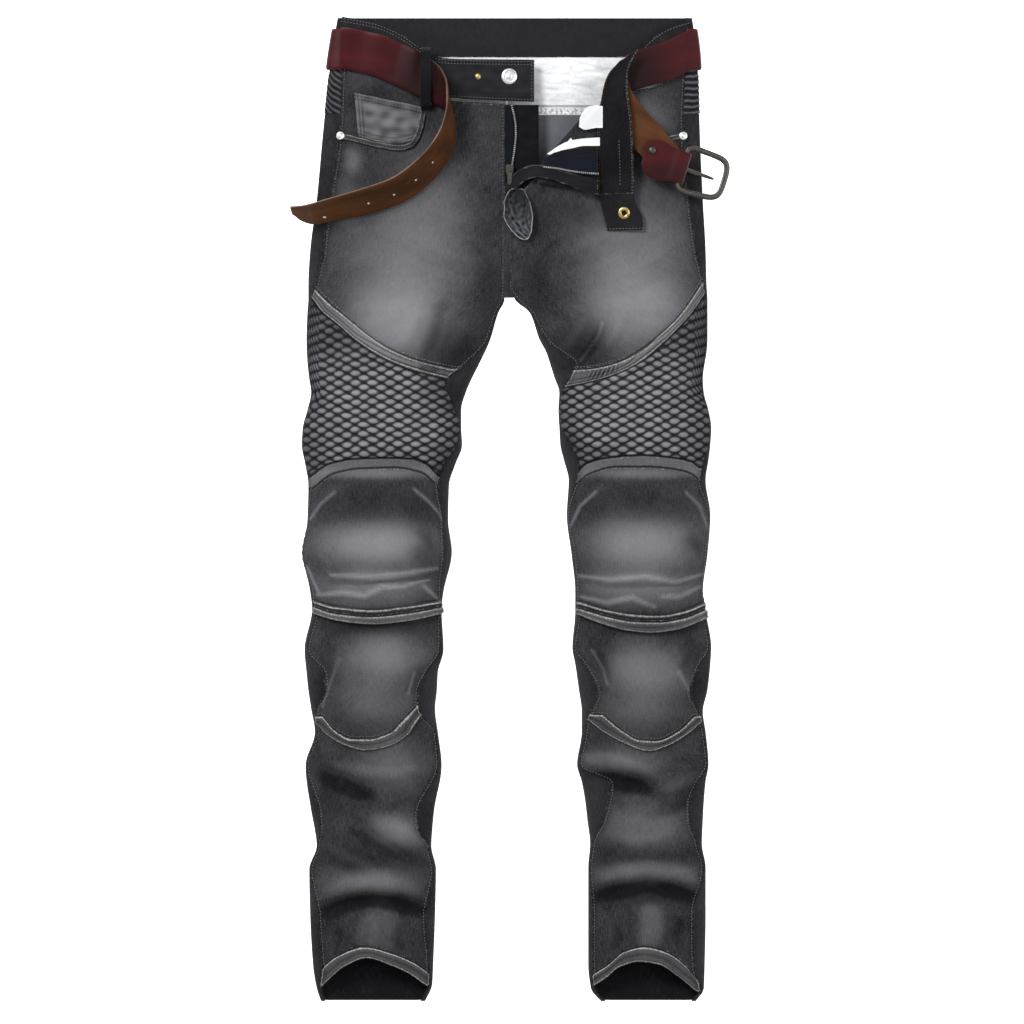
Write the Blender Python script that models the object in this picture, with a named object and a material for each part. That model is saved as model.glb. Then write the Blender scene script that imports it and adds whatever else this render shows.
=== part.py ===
"""Slim denim motorcycle trousers with a leather belt, laid flat with the front up.

Millimetres in the tables, metres in the meshes, +Z up. The waist points to +Y. "down" is the
distance from the top of the waist towards the hems. Right and left are the wearer's, so the right
leg lies at -X. Every cloth piece is a thin wall on one shared surface: a ring across each leg with
a flat underside, two curled sides and an arched top, opened at the centre front above the crotch.
"""
import math
from bisect import bisect_right
from collections import namedtuple
from functools import lru_cache

import bmesh
import bpy
from mathutils import Vector

MM = 0.001
LENGTH = 1056.0
CENTRE_X = -7.0
# The middle of the whole garment in plan, belt and buckle included, which becomes the origin.
MIDDLE = Vector((-2.71, -1.23, 0.0))
DENIM = 1.4
DOUBLED = 1.8
SEAM_GAP = 0.3
HALF_GAP = SEAM_GAP / 2
SIDE_GAP = 0.25

WAIST_SIDE_Z = 10.5
LEG_SIDE_Z = 7.0
SIDE_Z_FADE = (60.0, 180.0)
BELT_BED = 5.4
BELT_BED_FADE = (66.0, 104.0)
ARCH_POWER = 2.6
CROTCH_FADE = (250.0, 312.0)
CURL_SHARE = 0.25
SIDE_SHARE = 0.12
WAIST_SHARES = (0.0, 0.04, 0.08, SIDE_SHARE, 0.165, 0.215, 0.36, 0.6, 0.9)

BELT_WIDTH = 44.0
BELT_THICKNESS = 3.4
WAISTBAND = 2.6
WAISTBAND_LIFT = 1.4
BACK_BAND_TOP = 3.0
BACK_BAND_LOW = 45.0
BELT_LOW = 62.0
RIB_LIFT = 1.2
YOKE_LOW = 106.0

SHARP_ANGLE = 50.0
PANEL_STEPS = 9
LEAST_STEP = 1.0
LOZENGE_LIFT = 2.6
LOZENGE_COLUMNS = 18
LOZENGE_ROWS = 26

# Sections across each leg. x of the outer and inner silhouette, how far in from it the side seam
# and the inseam lie on top, and the height of the arch.
Section = namedtuple("Section", "down outer inner outer_seam inner_seam crest")

RIGHT_SECTIONS = [Section(*row) for row in (
    (0, -188, -7.2, 6, 1.5, 19),
    (50, -196, -7.2, 13, 1.5, 20),
    (134, -205, -7.2, 18, 1.5, 21),
    (198, -211, -7.2, 15, 1.5, 22),
    (252, -218, -7.2, 15, 1.5, 24),
    (289, -220, -7.6, 9, 1.5, 28),
    (305, -220, -9, 4, 2, 30),
    (318, -221, -16, 2, 2, 32),
    (348, -222, -25, 2, 3, 33),
    (372, -221, -36, 2, 13, 32),
    (390, -219, -45, 2, 26, 34),
    (404, -217, -51, 2, 18, 36),
    (423, -221, -56, 2, 7, 38),
    (442, -226, -56, 2, 2, 39),
    (460, -227, -55, 2, 6, 37),
    (483, -223, -63, 2, 12, 30),
    (503, -220, -69, 2, 12, 34),
    (541, -221, -70, 2, 7, 42),
    (575, -226, -66, 2, 10, 44),
    (618, -218, -75, 6, 6, 42),
    (636, -216, -77, 5, 2, 38),
    (680, -224, -75, 4, 4, 33),
    (704, -222, -81, 20, 13, 34),
    (723, -220, -82, 20, 20, 36),
    (743, -217, -84, 7, 18, 36),
    (768, -213, -81, 3, 3, 32),
    (804, -223, -77, 2, 4, 28),
    (852, -217, -85, 9, 17, 30),
    (873, -213, -87, 7, 14, 36),
    (890, -211, -88, 2, 3, 34),
    (915, -219, -83, 2, 3, 26),
    (964, -218, -84, 10, 10, 30),
    (1017, -215, -86, 11, 5, 26),
    (1038, -212, -87, 6, 4, 22),
    (1056, -206, -95, 4, 4, 19),
)]

LEFT_SECTIONS = [Section(*row) for row in (
    (0, 191, -6.8, 6, 1.5, 19),
    (50, 197, -6.8, 13, 1.5, 20),
    (134, 200, -6.8, 18, 1.5, 21),
    (198, 203, -6.8, 15, 1.5, 22),
    (252, 206, -6.8, 11, 1.5, 24),
    (289, 207, -6.4, 4, 1.5, 28),
    (305, 208, 1, 3, 3, 30),
    (318, 208, 17, 2, 2, 32),
    (348, 208, 28, 2, 7, 33),
    (361, 207, 35, 2, 16, 32),
    (373, 205, 39, 2, 26, 33),
    (389, 203, 44, 2, 17, 35),
    (404, 204, 49, 2, 3, 37),
    (423, 209, 48, 2, 1.5, 38),
    (442, 212, 49, 2, 3, 39),
    (460, 211, 50, 3, 12, 36),
    (477, 209, 54, 6, 15, 31),
    (498, 206, 59, 7, 9, 33),
    (536, 211, 57, 2, 2, 41),
    (577, 208, 62, 4, 5, 44),
    (618, 203, 66, 4, 5, 42),
    (639, 206, 66, 3, 4, 38),
    (678, 212, 63, 3, 2, 33),
    (695, 211, 66, 12, 10, 34),
    (723, 208, 70, 20, 20, 36),
    (746, 203, 73, 6, 10, 36),
    (768, 206, 73, 3, 4, 32),
    (803, 209, 68, 2, 3, 31),
    (821, 206, 73, 9, 30, 27),
    (844, 204, 77, 16, 24, 30),
    (862, 203, 79, 15, 17, 35),
    (888, 202, 82, 6, 3, 34),
    (913, 206, 80, 3, 2, 26),
    (964, 206, 80, 14, 5, 30),
    (1017, 205, 80, 12, 5, 26),
    (1043, 204, 83, 5, 4, 22),
    (1056, 195, 94, 4, 4, 19),
)]

SECTIONS = {"right": RIGHT_SECTIONS, "left": LEFT_SECTIONS}

# More rows of the mesh between the sections, where the folds need them.
FOLD_ROWS = (66, 85, 104, 165, 225, 272, 333, 523, 597, 657, 786, 828, 927, 940, 950, 976, 997)

# Seams that cross a leg, as (x, down) points from the outer side inwards or outwards.
CROSS_SEAMS = {
    "right": {
        "waist": ((-183, 46.5), (-164, 51.2), (-148, 55.3), (-127, 64.4), (-106, 75.9), (-85, 88.2),
                  (-61, 91.2), (-20, 93.5), (-7, 94)),
        "thigh_top": ((-214, 292), (-198, 308), (-174, 328), (-150, 347), (-126, 361), (-100, 371),
                      (-66, 379)),
        "thigh_low": ((-216, 303), (-205, 318), (-188, 332), (-170, 348), (-150, 362), (-129, 373),
                      (-105, 382), (-72, 390)),
        "knee_top": ((-217, 495), (-196, 481), (-170, 476), (-134, 475), (-108, 476), (-94, 481),
                     (-81, 494)),
        "knee_low": ((-215, 507), (-191, 491), (-164, 486), (-126, 485), (-99, 490), (-81, 504)),
        "cap_hem": ((-211, 633), (-188, 640), (-152, 643), (-117, 640), (-78, 633)),
        "cap_end": ((-213, 641), (-188, 648), (-150, 652), (-117, 649), (-78, 641)),
        "rim_in": ((-203, 752), (-189, 768), (-172, 776), (-155, 776), (-131, 769), (-114, 753),
                   (-101, 738)),
        "rim_out": ((-210, 758), (-197, 772), (-176, 783), (-159, 787), (-135, 783), (-114, 771),
                    (-98, 749)),
        "hem_top": ((-211, 1034), (-203, 1019), (-187, 1006), (-159, 996), (-131, 1003),
                    (-106, 1014), (-89, 1027)),
        "hem_end": ((-210, 1046), (-197, 1032), (-180, 1018), (-157, 1009), (-131, 1017),
                    (-112, 1026), (-93, 1040)),
    },
    "left": {
        "opened": ((-7, 205), (24, 172.5), (45, 150), (66, 127.2), (86, 105.6), (104, 90), (130, 80),
                   (153, 77), (164, 67), (175, 57), (187, 49)),
        "thigh_top": ((60, 381), (85, 379), (110, 373), (136, 359), (156, 343), (175, 325),
                      (190, 305), (203, 285)),
        "thigh_low": ((56, 399), (85, 393), (110, 385), (139, 370), (159, 353), (179, 333),
                      (195, 314), (206, 297)),
        "knee_top": ((68, 492), (78, 481), (99, 475), (136, 472), (172, 475), (190, 479),
                     (198, 485)),
        "knee_low": ((66, 503), (82, 491), (110, 484), (145, 484), (180, 488), (195, 495),
                     (202, 505)),
        "cap_hem": ((74, 635), (101, 643), (128, 648), (154, 649), (180, 645), (204, 636)),
        "cap_end": ((71, 642), (96, 652), (124, 659), (145, 661), (172, 658), (206, 646)),
        "rim_in": ((95, 750), (117, 768), (134, 777), (152, 778), (174, 769), (193, 752)),
        "rim_out": ((81, 755), (96, 767), (117, 779), (144, 788), (167, 781), (189, 767),
                    (201, 756)),
        "hem_top": ((85, 1027), (102, 1015), (119, 1001), (140, 996), (163, 1002), (182, 1015),
                    (195, 1032)),
        "hem_end": ((86, 1040), (100, 1030), (113, 1019), (134, 1013), (155, 1016), (176, 1029),
                    (196, 1046)),
    },
}

# The largest folds: a soft ridge or, with a negative height, a trough.
Fold = namedtuple("Fold", "side x down reach breadth slant height")

FOLDS = [Fold(*row) for row in (
    ("right", -86, 340, 42, 9, -68, -4),
    ("right", -60, 350, 30, 9, -60, 3),
    ("right", -178, 824, 38, 11, -22, -5),
    ("right", -124, 872, 34, 12, -34, 6),
    ("right", -150, 935, 62, 12, 0, 7),
    ("right", -150, 958, 56, 10, 0, -8),
    ("right", -153, 984, 30, 13, 90, 6),
    ("left", 88, 352, 26, 8, 52, -4),
    ("left", 112, 800, 52, 12, -8, 5),
    ("left", 120, 826, 46, 10, -10, -7),
    ("left", 142, 916, 58, 12, 0, 6),
    ("left", 144, 940, 58, 11, 0, -8),
    ("left", 146, 976, 30, 13, 90, 6),
)]

BACK_SHARES = (0.0, 0.06, 0.12, 0.165, 0.215, 0.5, 0.785, 0.835, 0.88, 0.94, 1.0)

# Belt rows from the side to the tip: the raised edge a, the resting edge b, height of its middle
# above the cloth.
FREE_END_ROWS = (
    # ax, ad, bx, bd, lift
    (-179, 15.5, -181, 58.5, 3.8),
    (-161, 18.5, -165, 62, 3.8),
    (-143, 23, -149, 66, 3.8),
    (-122, 31, -131, 74, 3.8),
    (-106, 39, -114, 82, 3.8),
    (-94, 46.5, -99, 90, 3.9),
    (-85, 52.5, -89, 95, 4.6),
    (-76, 63, -77, 100, 4.0),
    (-71, 78, -69, 105, 2.4),
    (-70.5, 98, -63, 115, 2.2),
    (-75, 120, -61.5, 133, 2.2),
    (-87, 142, -68, 153, 2.2),
    (-105, 161, -84, 175, 2.4),
    (-131, 179, -112, 198, 2.4),
    (-161, 189.5, -149, 212, 2.4),
    (-195, 199.5, -188, 220, 2.4),
    (-222, 207, -218, 224, 2.4),
    (-235, 209, -236, 219, 2.4),
)

# The buckle end: along the waistband, a tight turn under the flap, then out to the bar.
BUCKLE_END_ROWS = (
    # ax, ad, az, bx, bd, bz
    (178, 21, 18.6, 181, 64, 18.8),
    (165, 28, 20.8, 169, 70, 21.0),
    (145, 35, 22.8, 146, 77, 22.8),
    (127, 41, 24.0, 126, 83, 24.0),
    (117, 44, 24.6, 115, 87, 24.6),
    (112.2, 50, 28.2, 110.2, 92, 28.2),
    (115.5, 60, 31.8, 113, 103, 31.8),
    (124, 79, 32.6, 120, 121, 32.6),
    (138, 101, 31.6, 129, 144, 31.6),
    (155, 119, 29.2, 145, 160, 29.2),
    (171, 138, 26.8, 161, 174, 26.8),
)

BAR = (180.0, 165.0, 30.0)
BAR_ALONG = (-0.287, 0.957)
BAR_OUT = (0.957, 0.287)
BAR_HALF_BELT = 17.0
BAR_RADIUS = 2.1
WRAP_RADIUS = 4.4
FRAME_DROP = 7.0
PRONG_DROP = 31.0
PRONG_LENGTH = 44.0
PRONG_THICKNESS = 1.3
HOOK_RADIUS = 3.3
BELT_COLUMNS = (0.0, 0.2, 0.4, 0.6, 0.8, 1.0)

# Half of the buckle frame in its own plane, from the middle of the bar: out, along, half width.
FRAME_HALF = ((0, 0, 2.1), (0, 12, 2.1), (0, 19, 2.3), (3, 22.6, 2.8), (9, 23.6, 3.1), (23, 23, 3.1),
              (37, 21.6, 3.2), (43.5, 18.6, 3.2), (46.6, 12.5, 3.2), (47.4, 4, 3.2))

LOOP_X = (-99.0, -88.0)
FOLD_START = (24.0, 172.0)
FOLD_END = (85.0, 106.0)
# The flap's far border: share of the fold, x, down, height above the cloth below.
FLY_EDGE = ((0.0, 26, 181, 5.5), (0.25, 52, 185, 5.5), (0.5, 87, 190, 6.0), (0.64, 89.5, 170, 7.5),
            (0.82, 89.5, 140, 9.5), (1.0, 89.5, 110, 11.0))

SLIDER = (-4.2, 167.0)
PULL_AXIS = 2.0

POCKET_MOUTHS = {
    "right": ((-183, 133), (-164, 138), (-143, 143), (-121, 146), (-109, 143), (-101, 134), (-96, 119),
              (-94, 107)),
    "left": ((178, 133), (160, 138), (140, 143), (118, 146), (106, 143), (97, 134)),
}
# The left mouth lies on the thigh itself, the right one over the coin pocket.
POCKET_LIFT = {"right": 3.0, "left": 1.6}
# Rivets at the ends of the pocket mouths: x, down, height above the cloth.
RIVETS = {"upper_right": (-91.5, 94.5, 0.7), "lower_right": (-185, 130, 3.7), "lower_left": (181.5, 130, 2.3)}
BAND_WIDTH = 5.6

# Colours as linear values, with roughness and metallic.
Finish = namedtuple("Finish", "colour roughness metallic")

FINISHES = {
    "denim": Finish((0.045, 0.045, 0.048), 0.9, 0.0),
    "denim_faded": Finish((0.12, 0.12, 0.125), 0.9, 0.0),
    "denim_inside": Finish((0.1, 0.1, 0.105), 0.95, 0.0),
    "yoke_lining": Finish((0.72, 0.76, 0.8), 0.9, 0.0),
    "zip_tape": Finish((0.012, 0.016, 0.05), 0.85, 0.0),
    "pocket_cloth": Finish((0.8, 0.8, 0.8), 0.9, 0.0),
    "belt_leather": Finish((0.06, 0.012, 0.012), 0.45, 0.0),
    "gunmetal": Finish((0.08, 0.075, 0.065), 0.35, 1.0),
    "white_metal": Finish((0.75, 0.75, 0.76), 0.3, 0.8),
    "brass": Finish((0.5, 0.38, 0.16), 0.35, 1.0),
}


def start_clean():
    """Empty the file of its objects."""
    for thing in list(bpy.data.objects):
        bpy.data.objects.remove(thing, do_unlink=True)


def finish_of(slot):
    """The material of a slot, made once."""
    known = bpy.data.materials.get(slot)
    if known:
        return known
    look = FINISHES[slot]
    made = bpy.data.materials.new(slot)
    made.use_nodes = True
    shader = made.node_tree.nodes["Principled BSDF"]
    shader.inputs["Base Color"].default_value = (*look.colour, 1.0)
    shader.inputs["Roughness"].default_value = look.roughness
    shader.inputs["Metallic"].default_value = look.metallic
    made.diffuse_color = (*look.colour, 1.0)
    return made


def own_finish(name, slot):
    """A copy of a slot's material for one piece."""
    made = finish_of(slot).copy()
    made.name = f"{name}_{slot}"
    return made


def clamp(value, low=0.0, high=1.0):
    return max(low, min(high, value))


def lerp(a, b, share):
    return a + (b - a) * share


def fade(value, span):
    """0 before the span, 1 after it, smooth between."""
    share = clamp((value - span[0]) / (span[1] - span[0]))
    return share * share * (3.0 - 2.0 * share)


def through(points, x):
    """A smooth curve through (x, value) points that never overshoots them."""
    if x <= points[0][0]:
        return points[0][1]
    if x >= points[-1][0]:
        return points[-1][1]
    last = len(points) - 1
    k = next(i for i in range(last) if x <= points[i + 1][0])
    slopes = [(points[i + 1][1] - points[i][1]) / (points[i + 1][0] - points[i][0])
              for i in range(max(0, k - 1), min(last, k + 2))]
    here = slopes[k - max(0, k - 1)]
    before = slopes[0] if k > 0 else here
    after = slopes[-1] if k < last - 1 else here

    def tangent(a, b):
        return 0.0 if a * b <= 0.0 else 2.0 * a * b / (a + b)

    step = points[k + 1][0] - points[k][0]
    t = (x - points[k][0]) / step
    rise_in = tangent(before, here) * step
    rise_out = tangent(here, after) * step
    start, end = points[k][1], points[k + 1][1]
    return (start * (2 * t ** 3 - 3 * t ** 2 + 1) + rise_in * (t ** 3 - 2 * t ** 2 + t)
            + end * (3 * t ** 2 - 2 * t ** 3) + rise_out * (t ** 3 - t ** 2))


COLUMNS = {
    side: {field: [(row.down, getattr(row, field)) for row in rows] for field in Section._fields}
    for side, rows in SECTIONS.items()
}


def measure(side, field, down):
    """One column of a leg's section table, at any distance down."""
    return through(COLUMNS[side][field], down)


def side_height(down):
    return lerp(WAIST_SIDE_Z, LEG_SIDE_Z, fade(down, SIDE_Z_FADE))


def bed_height(down):
    """The underside: on the floor, and on the belt at the waist."""
    return BELT_BED * (1.0 - fade(down, BELT_BED_FADE))


def arch(part):
    part = clamp(part)
    return math.sqrt(max(0.0, 1.0 - abs(2.0 * part - 1.0) ** ARCH_POWER))


def fold_height(side, x, down):
    total = 0.0
    for fold in FOLDS:
        if fold.side != side:
            continue
        slant = math.radians(fold.slant)
        dx, dy = x - fold.x, fold.down - down
        along = dx * math.cos(slant) + dy * math.sin(slant)
        across = dy * math.cos(slant) - dx * math.sin(slant)
        total += fold.height * math.exp(-(along / fold.reach) ** 4 - (across / fold.breadth) ** 2)
    return total


def top_height(side, x, down):
    """Height of the upper cloth at a place in plan."""
    base = side_height(down)
    rise = measure(side, "crest", down) - base
    outer = measure(side, "outer", down)
    inner = measure(side, "inner", down)
    part = (x - outer) / (inner - outer)
    hip_low = measure("right", "outer", down)
    hip_high = measure("left", "outer", down)
    hip = arch((x - hip_low) / (hip_high - hip_low))
    share = lerp(hip, arch(part), fade(down, CROTCH_FADE))
    part = clamp(part)
    room = min(1.0, 6.0 * part * (1.0 - part))
    return base + rise * share + fold_height(side, x, down) * room


def place(x, down, z):
    return Vector((x, LENGTH / 2 - down, z))


def skin(side, down, turn):
    """A point on the ring across a leg.

    0 to 1 crosses the top from the outer to the inner silhouette. Below 0 and above 1 the ring
    curls under and runs along the floor to its middle, at -1 and at 2.
    """
    outer = measure(side, "outer", down)
    inner = measure(side, "inner", down)
    if 0.0 <= turn <= 1.0:
        x = lerp(outer, inner, (1.0 - math.cos(math.pi * turn)) / 2)
        return place(x, down, top_height(side, x, down))
    lap = -turn if turn < 0.0 else turn - 1.0
    edge, far = (outer, inner) if turn < 0.0 else (inner, outer)
    toward = math.copysign(1.0, far - edge)
    low = bed_height(down)
    radius = side_height(down) - low
    if lap < CURL_SHARE:
        angle = lap / CURL_SHARE * math.pi / 2
        x = edge + toward * radius * (1.0 - math.cos(angle))
        return place(x, down, low + radius * (1.0 - math.sin(angle)))
    share = (lap - CURL_SHARE) / (1.0 - CURL_SHARE)
    return place(lerp(edge + toward * radius, (outer + inner) / 2, share), down, low)


def seam_turns(side, down, spare):
    """Where on the ring the side seam and the inseam lie, moved inwards by a spare distance."""
    width = abs(measure(side, "outer", down) - measure(side, "inner", down))
    inset_out = measure(side, "outer_seam", down) + spare
    inset_in = measure(side, "inner_seam", down) + spare
    turn_out = math.acos(1.0 - 2.0 * inset_out / width) / math.pi
    turn_in = 1.0 - math.acos(1.0 - 2.0 * inset_in / width) / math.pi
    return turn_out, turn_in


KEY_DOWNS = {side: sorted({row.down for row in rows} | set(FOLD_ROWS)) for side, rows in SECTIONS.items()}


def between_rows(exact, side, down, share):
    """A surface that runs straight from one mesh row to the next, so that its edges match."""
    keys = KEY_DOWNS[side]
    k = min(max(bisect_right(keys, down) - 1, 0), len(keys) - 2)
    low, high = keys[k], keys[k + 1]
    part = clamp((down - low) / (high - low))
    return exact(side, low, share).lerp(exact(side, high, share), part)


def front_point(side, down, share):
    return between_rows(front_row, side, down, share)


def back_point(side, down, share):
    return between_rows(back_row, side, down, share)


@lru_cache(maxsize=None)
def front_row(side, down, share):
    """A point of the front, share 0 at the side seam and 1 at the inseam or centre front."""
    turn_out, turn_in = seam_turns(side, down, SIDE_GAP)
    return skin(side, down, lerp(turn_out, turn_in, share))


@lru_cache(maxsize=None)
def back_row(side, down, share):
    """A point of the back, share 0 at the side seam, round below, to 1 at the inseam."""
    turn_out, turn_in = seam_turns(side, down, -SIDE_GAP)
    if share < SIDE_SHARE:
        turn = turn_out * (1.0 - share / SIDE_SHARE)
    elif share < 0.5:
        turn = -(share - SIDE_SHARE) / (0.5 - SIDE_SHARE)
    elif share < 1.0 - SIDE_SHARE:
        turn = 1.0 + (1.0 - SIDE_SHARE - share) / (0.5 - SIDE_SHARE)
    else:
        turn = lerp(1.0, turn_in, (share - 1.0 + SIDE_SHARE) / SIDE_SHARE)
    point = skin(side, down, turn)
    joined = 1.0 - fade(down, CROTCH_FADE)
    if share > 0.5 and joined > 0.0:
        outer = measure(side, "outer", down)
        inner = measure(side, "inner", down)
        x = lerp((outer + inner) / 2, inner, (share - 0.5) * 2)
        point = point.lerp(place(x, down, bed_height(down)), joined)
    return point


def deck_point(x, down):
    """A point of the upper cloth of the hips by its place in plan."""
    side = "right" if x < CENTRE_X else "left"
    return place(x, down, top_height(side, x, down))


def normal_of(surface, a, b, step_a, step_b, up_like):
    """The outward direction of a surface, from its own steps."""
    along_a = surface(a + step_a, b) - surface(a - step_a, b)
    along_b = surface(a, b + step_b) - surface(a, b - step_b)
    normal = along_a.cross(along_b).normalized()
    return normal if normal.dot(up_like) > 0.0 else -normal


def add_object(name, mesh, slot, pivot=Vector()):
    """Store a bmesh as a named object with its own material and its origin on its pivot."""
    bmesh.ops.translate(mesh, verts=mesh.verts, vec=-pivot * MM)
    bmesh.ops.delete(mesh, geom=[v for v in mesh.verts if not v.link_faces], context="VERTS")
    if mesh.calc_volume(signed=True) < 0.0:
        bmesh.ops.reverse_faces(mesh, faces=mesh.faces)
    data = bpy.data.meshes.new(name)
    mesh.to_mesh(data)
    mesh.free()
    data.materials.append(own_finish(name, slot))
    data.shade_smooth()
    data.set_sharp_from_angle(angle=math.radians(SHARP_ANGLE))
    thing = bpy.data.objects.new(name, data)
    thing.location = (pivot - MIDDLE) * MM
    bpy.context.scene.collection.objects.link(thing)
    return thing


def add_rim(mesh, outer, inner, faces):
    """Close the open border between an outer and an inner sheet of matching points."""
    directed = set()
    for face in faces:
        for k, corner in enumerate(face):
            directed.add((corner, face[(k + 1) % len(face)]))
    for a, b in directed:
        if (b, a) not in directed:
            mesh.faces.new((outer[b], outer[a], inner[a], inner[b]))


def wall(name, outside, inside, slot, missing=(), pivot=Vector()):
    """A closed wall between two matching grids, with the missing cells left open."""
    rows, cols = len(outside), len(outside[0])
    mesh = bmesh.new()
    outer = [mesh.verts.new(p * MM) for row in outside for p in row]
    inner = [mesh.verts.new(p * MM) for row in inside for p in row]
    faces = []
    for i in range(rows - 1):
        for j in range(cols - 1):
            if (i, j) not in missing:
                a = i * cols + j
                faces.append((a, a + 1, a + cols + 1, a + cols))
    for face in faces:
        mesh.faces.new([outer[k] for k in face])
        mesh.faces.new([inner[k] for k in reversed(face)])
    add_rim(mesh, outer, inner, faces)
    return add_object(name, mesh, slot, pivot)


@lru_cache(maxsize=None)
def seam_at_column(side, seam, column):
    """Where a cross seam meets one of the panel columns."""
    line = CROSS_SEAMS[side][seam]
    down = line[len(line) // 2][1]
    for _ in range(14):
        down = lerp(down, through(line, front_point(side, down, column / PANEL_STEPS).x), 0.7)
    return down


def seam_down(side, seam, share):
    """A cross seam between the panel columns, straight from one to the next."""
    column = min(int(share * PANEL_STEPS), PANEL_STEPS - 1)
    return lerp(seam_at_column(side, seam, column), seam_at_column(side, seam, column + 1),
                share * PANEL_STEPS - column)


def steps(count):
    return [k / (count - 1) for k in range(count)]


def panel_rows(side, tops, lows, rows):
    """How far down each row of a panel lies in each column: evenly, or on the shared mesh rows."""
    if rows:
        return [[lerp(top, low, v) for top, low in zip(tops, lows)] for v in steps(rows)]
    keys = [key for key in KEY_DOWNS[side] if min(tops) < key < max(lows)]
    grid = [tops]
    for i, key in enumerate(keys):
        grid.append([min(max(key, top + LEAST_STEP * (i + 1)), low - LEAST_STEP * (len(keys) - i))
                     for top, low in zip(tops, lows)])
    return grid + [lows]


def panel(name, side, upper, lower, slot, rows=0, lift=(0.0, 0.0), thickness=DENIM,
          reach=(HALF_GAP, -HALF_GAP), relief=None, cols=PANEL_STEPS + 1):
    """A front panel between two cross seams, raised by lift at its top and its bottom."""
    def surface(down, share):
        return front_point(side, down, share)

    outside, inside = [], []
    across = steps(cols)
    tops = [seam_down(side, upper, s) + reach[0] for s in across]
    lows = [seam_down(side, lower, s) + reach[1] for s in across]
    for i, downs in enumerate(panel_rows(side, tops, lows, rows)):
        outside.append([])
        inside.append([])
        for j, share in enumerate(across):
            down = downs[j]
            v = (down - tops[j]) / (lows[j] - tops[j])
            normal = normal_of(surface, down, share, 1.0, 0.01, Vector((0, 0, 1)))
            point = surface(down, share)
            high = lerp(lift[0], lift[1], v) + (relief(i, j, v, share) if relief else 0.0)
            outside[-1].append(point + normal * high)
            inside[-1].append(point + normal * (lerp(lift[0], lift[1], v) - thickness))
    if relief:
        return outside, inside
    return wall(name, outside, inside, slot)


def quilted_panel(side):
    """Lozenge puffs between low stitching lines over a plain inside of half as many points."""
    rows, cols = LOZENGE_ROWS + 1, LOZENGE_COLUMNS + 1

    def puff(i, j, v, share):
        border = i in (0, rows - 1) or j in (0, cols - 1)
        return 0.0 if border or (i + j) % 2 == 0 else LOZENGE_LIFT

    outside, inside = panel("", side, "thigh_low", "knee_top", "", rows, relief=puff, cols=cols)
    for j in range(1, cols, 2):
        for row in (outside[0], outside[-1]):
            row[j] = (row[j - 1] + row[j + 1]) / 2
    mesh = bmesh.new()
    outer = [[mesh.verts.new(p * MM) for p in row] for row in outside]
    inner = {(i, j): mesh.verts.new(inside[i][j] * MM)
             for i in range(0, rows, 2) for j in range(0, cols, 2)}
    for i in range(rows - 1):
        for j in range(cols - 1):
            a, b = outer[i][j], outer[i][j + 1]
            c, d = outer[i + 1][j + 1], outer[i + 1][j]
            even = (i + j) % 2 == 0
            for corner in ((a, b, c), (a, c, d)) if even else ((a, b, d), (b, c, d)):
                mesh.faces.new(corner)
    for i in range(0, rows - 1, 2):
        for j in range(0, cols - 1, 2):
            mesh.faces.new((inner[i, j], inner[i + 2, j], inner[i + 2, j + 2], inner[i, j + 2]))
    border = [(0, j) for j in range(cols - 1)] + [(i, cols - 1) for i in range(rows - 1)]
    border += [(rows - 1, j) for j in range(cols - 1, 0, -1)] + [(i, 0) for i in range(rows - 1, 0, -1)]
    for k in range(0, len(border), 2):
        first, middle = border[k], border[k + 1]
        last = border[(k + 2) % len(border)]
        start, between, end = (outer[i][j] for i, j in (first, middle, last))
        mesh.faces.new((between, start, inner[first]))
        mesh.faces.new((between, inner[first], inner[last]))
        mesh.faces.new((between, inner[last], end))
    return add_object(f"quilted_panel_{side}", mesh, "denim")


def back_wall(name, side, downs, shares, slot, thickness=DENIM, lift=0.0):
    """A stretch of the back ring as a wall."""
    def surface(down, share):
        return back_point(side, down, share)

    outside, inside = [], []
    towards_centre = Vector((1.0 if side == "right" else -1.0, 0, 0))
    for down in downs:
        outside.append([])
        inside.append([])
        for share in shares:
            point = surface(down, share)
            middle = place((measure(side, "outer", down) + measure(side, "inner", down)) / 2,
                           down, side_height(down))
            away = point - middle
            if share > 0.5 and down < CROTCH_FADE[1]:
                away = Vector((0, 0, -1)) + towards_centre * fade(down, CROTCH_FADE)
            normal = normal_of(surface, down, share, 1.0, 0.006, away)
            outside[-1].append(point + normal * lift)
            inside[-1].append(point + normal * (lift - thickness))
    return wall(name, outside, inside, slot)


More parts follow.
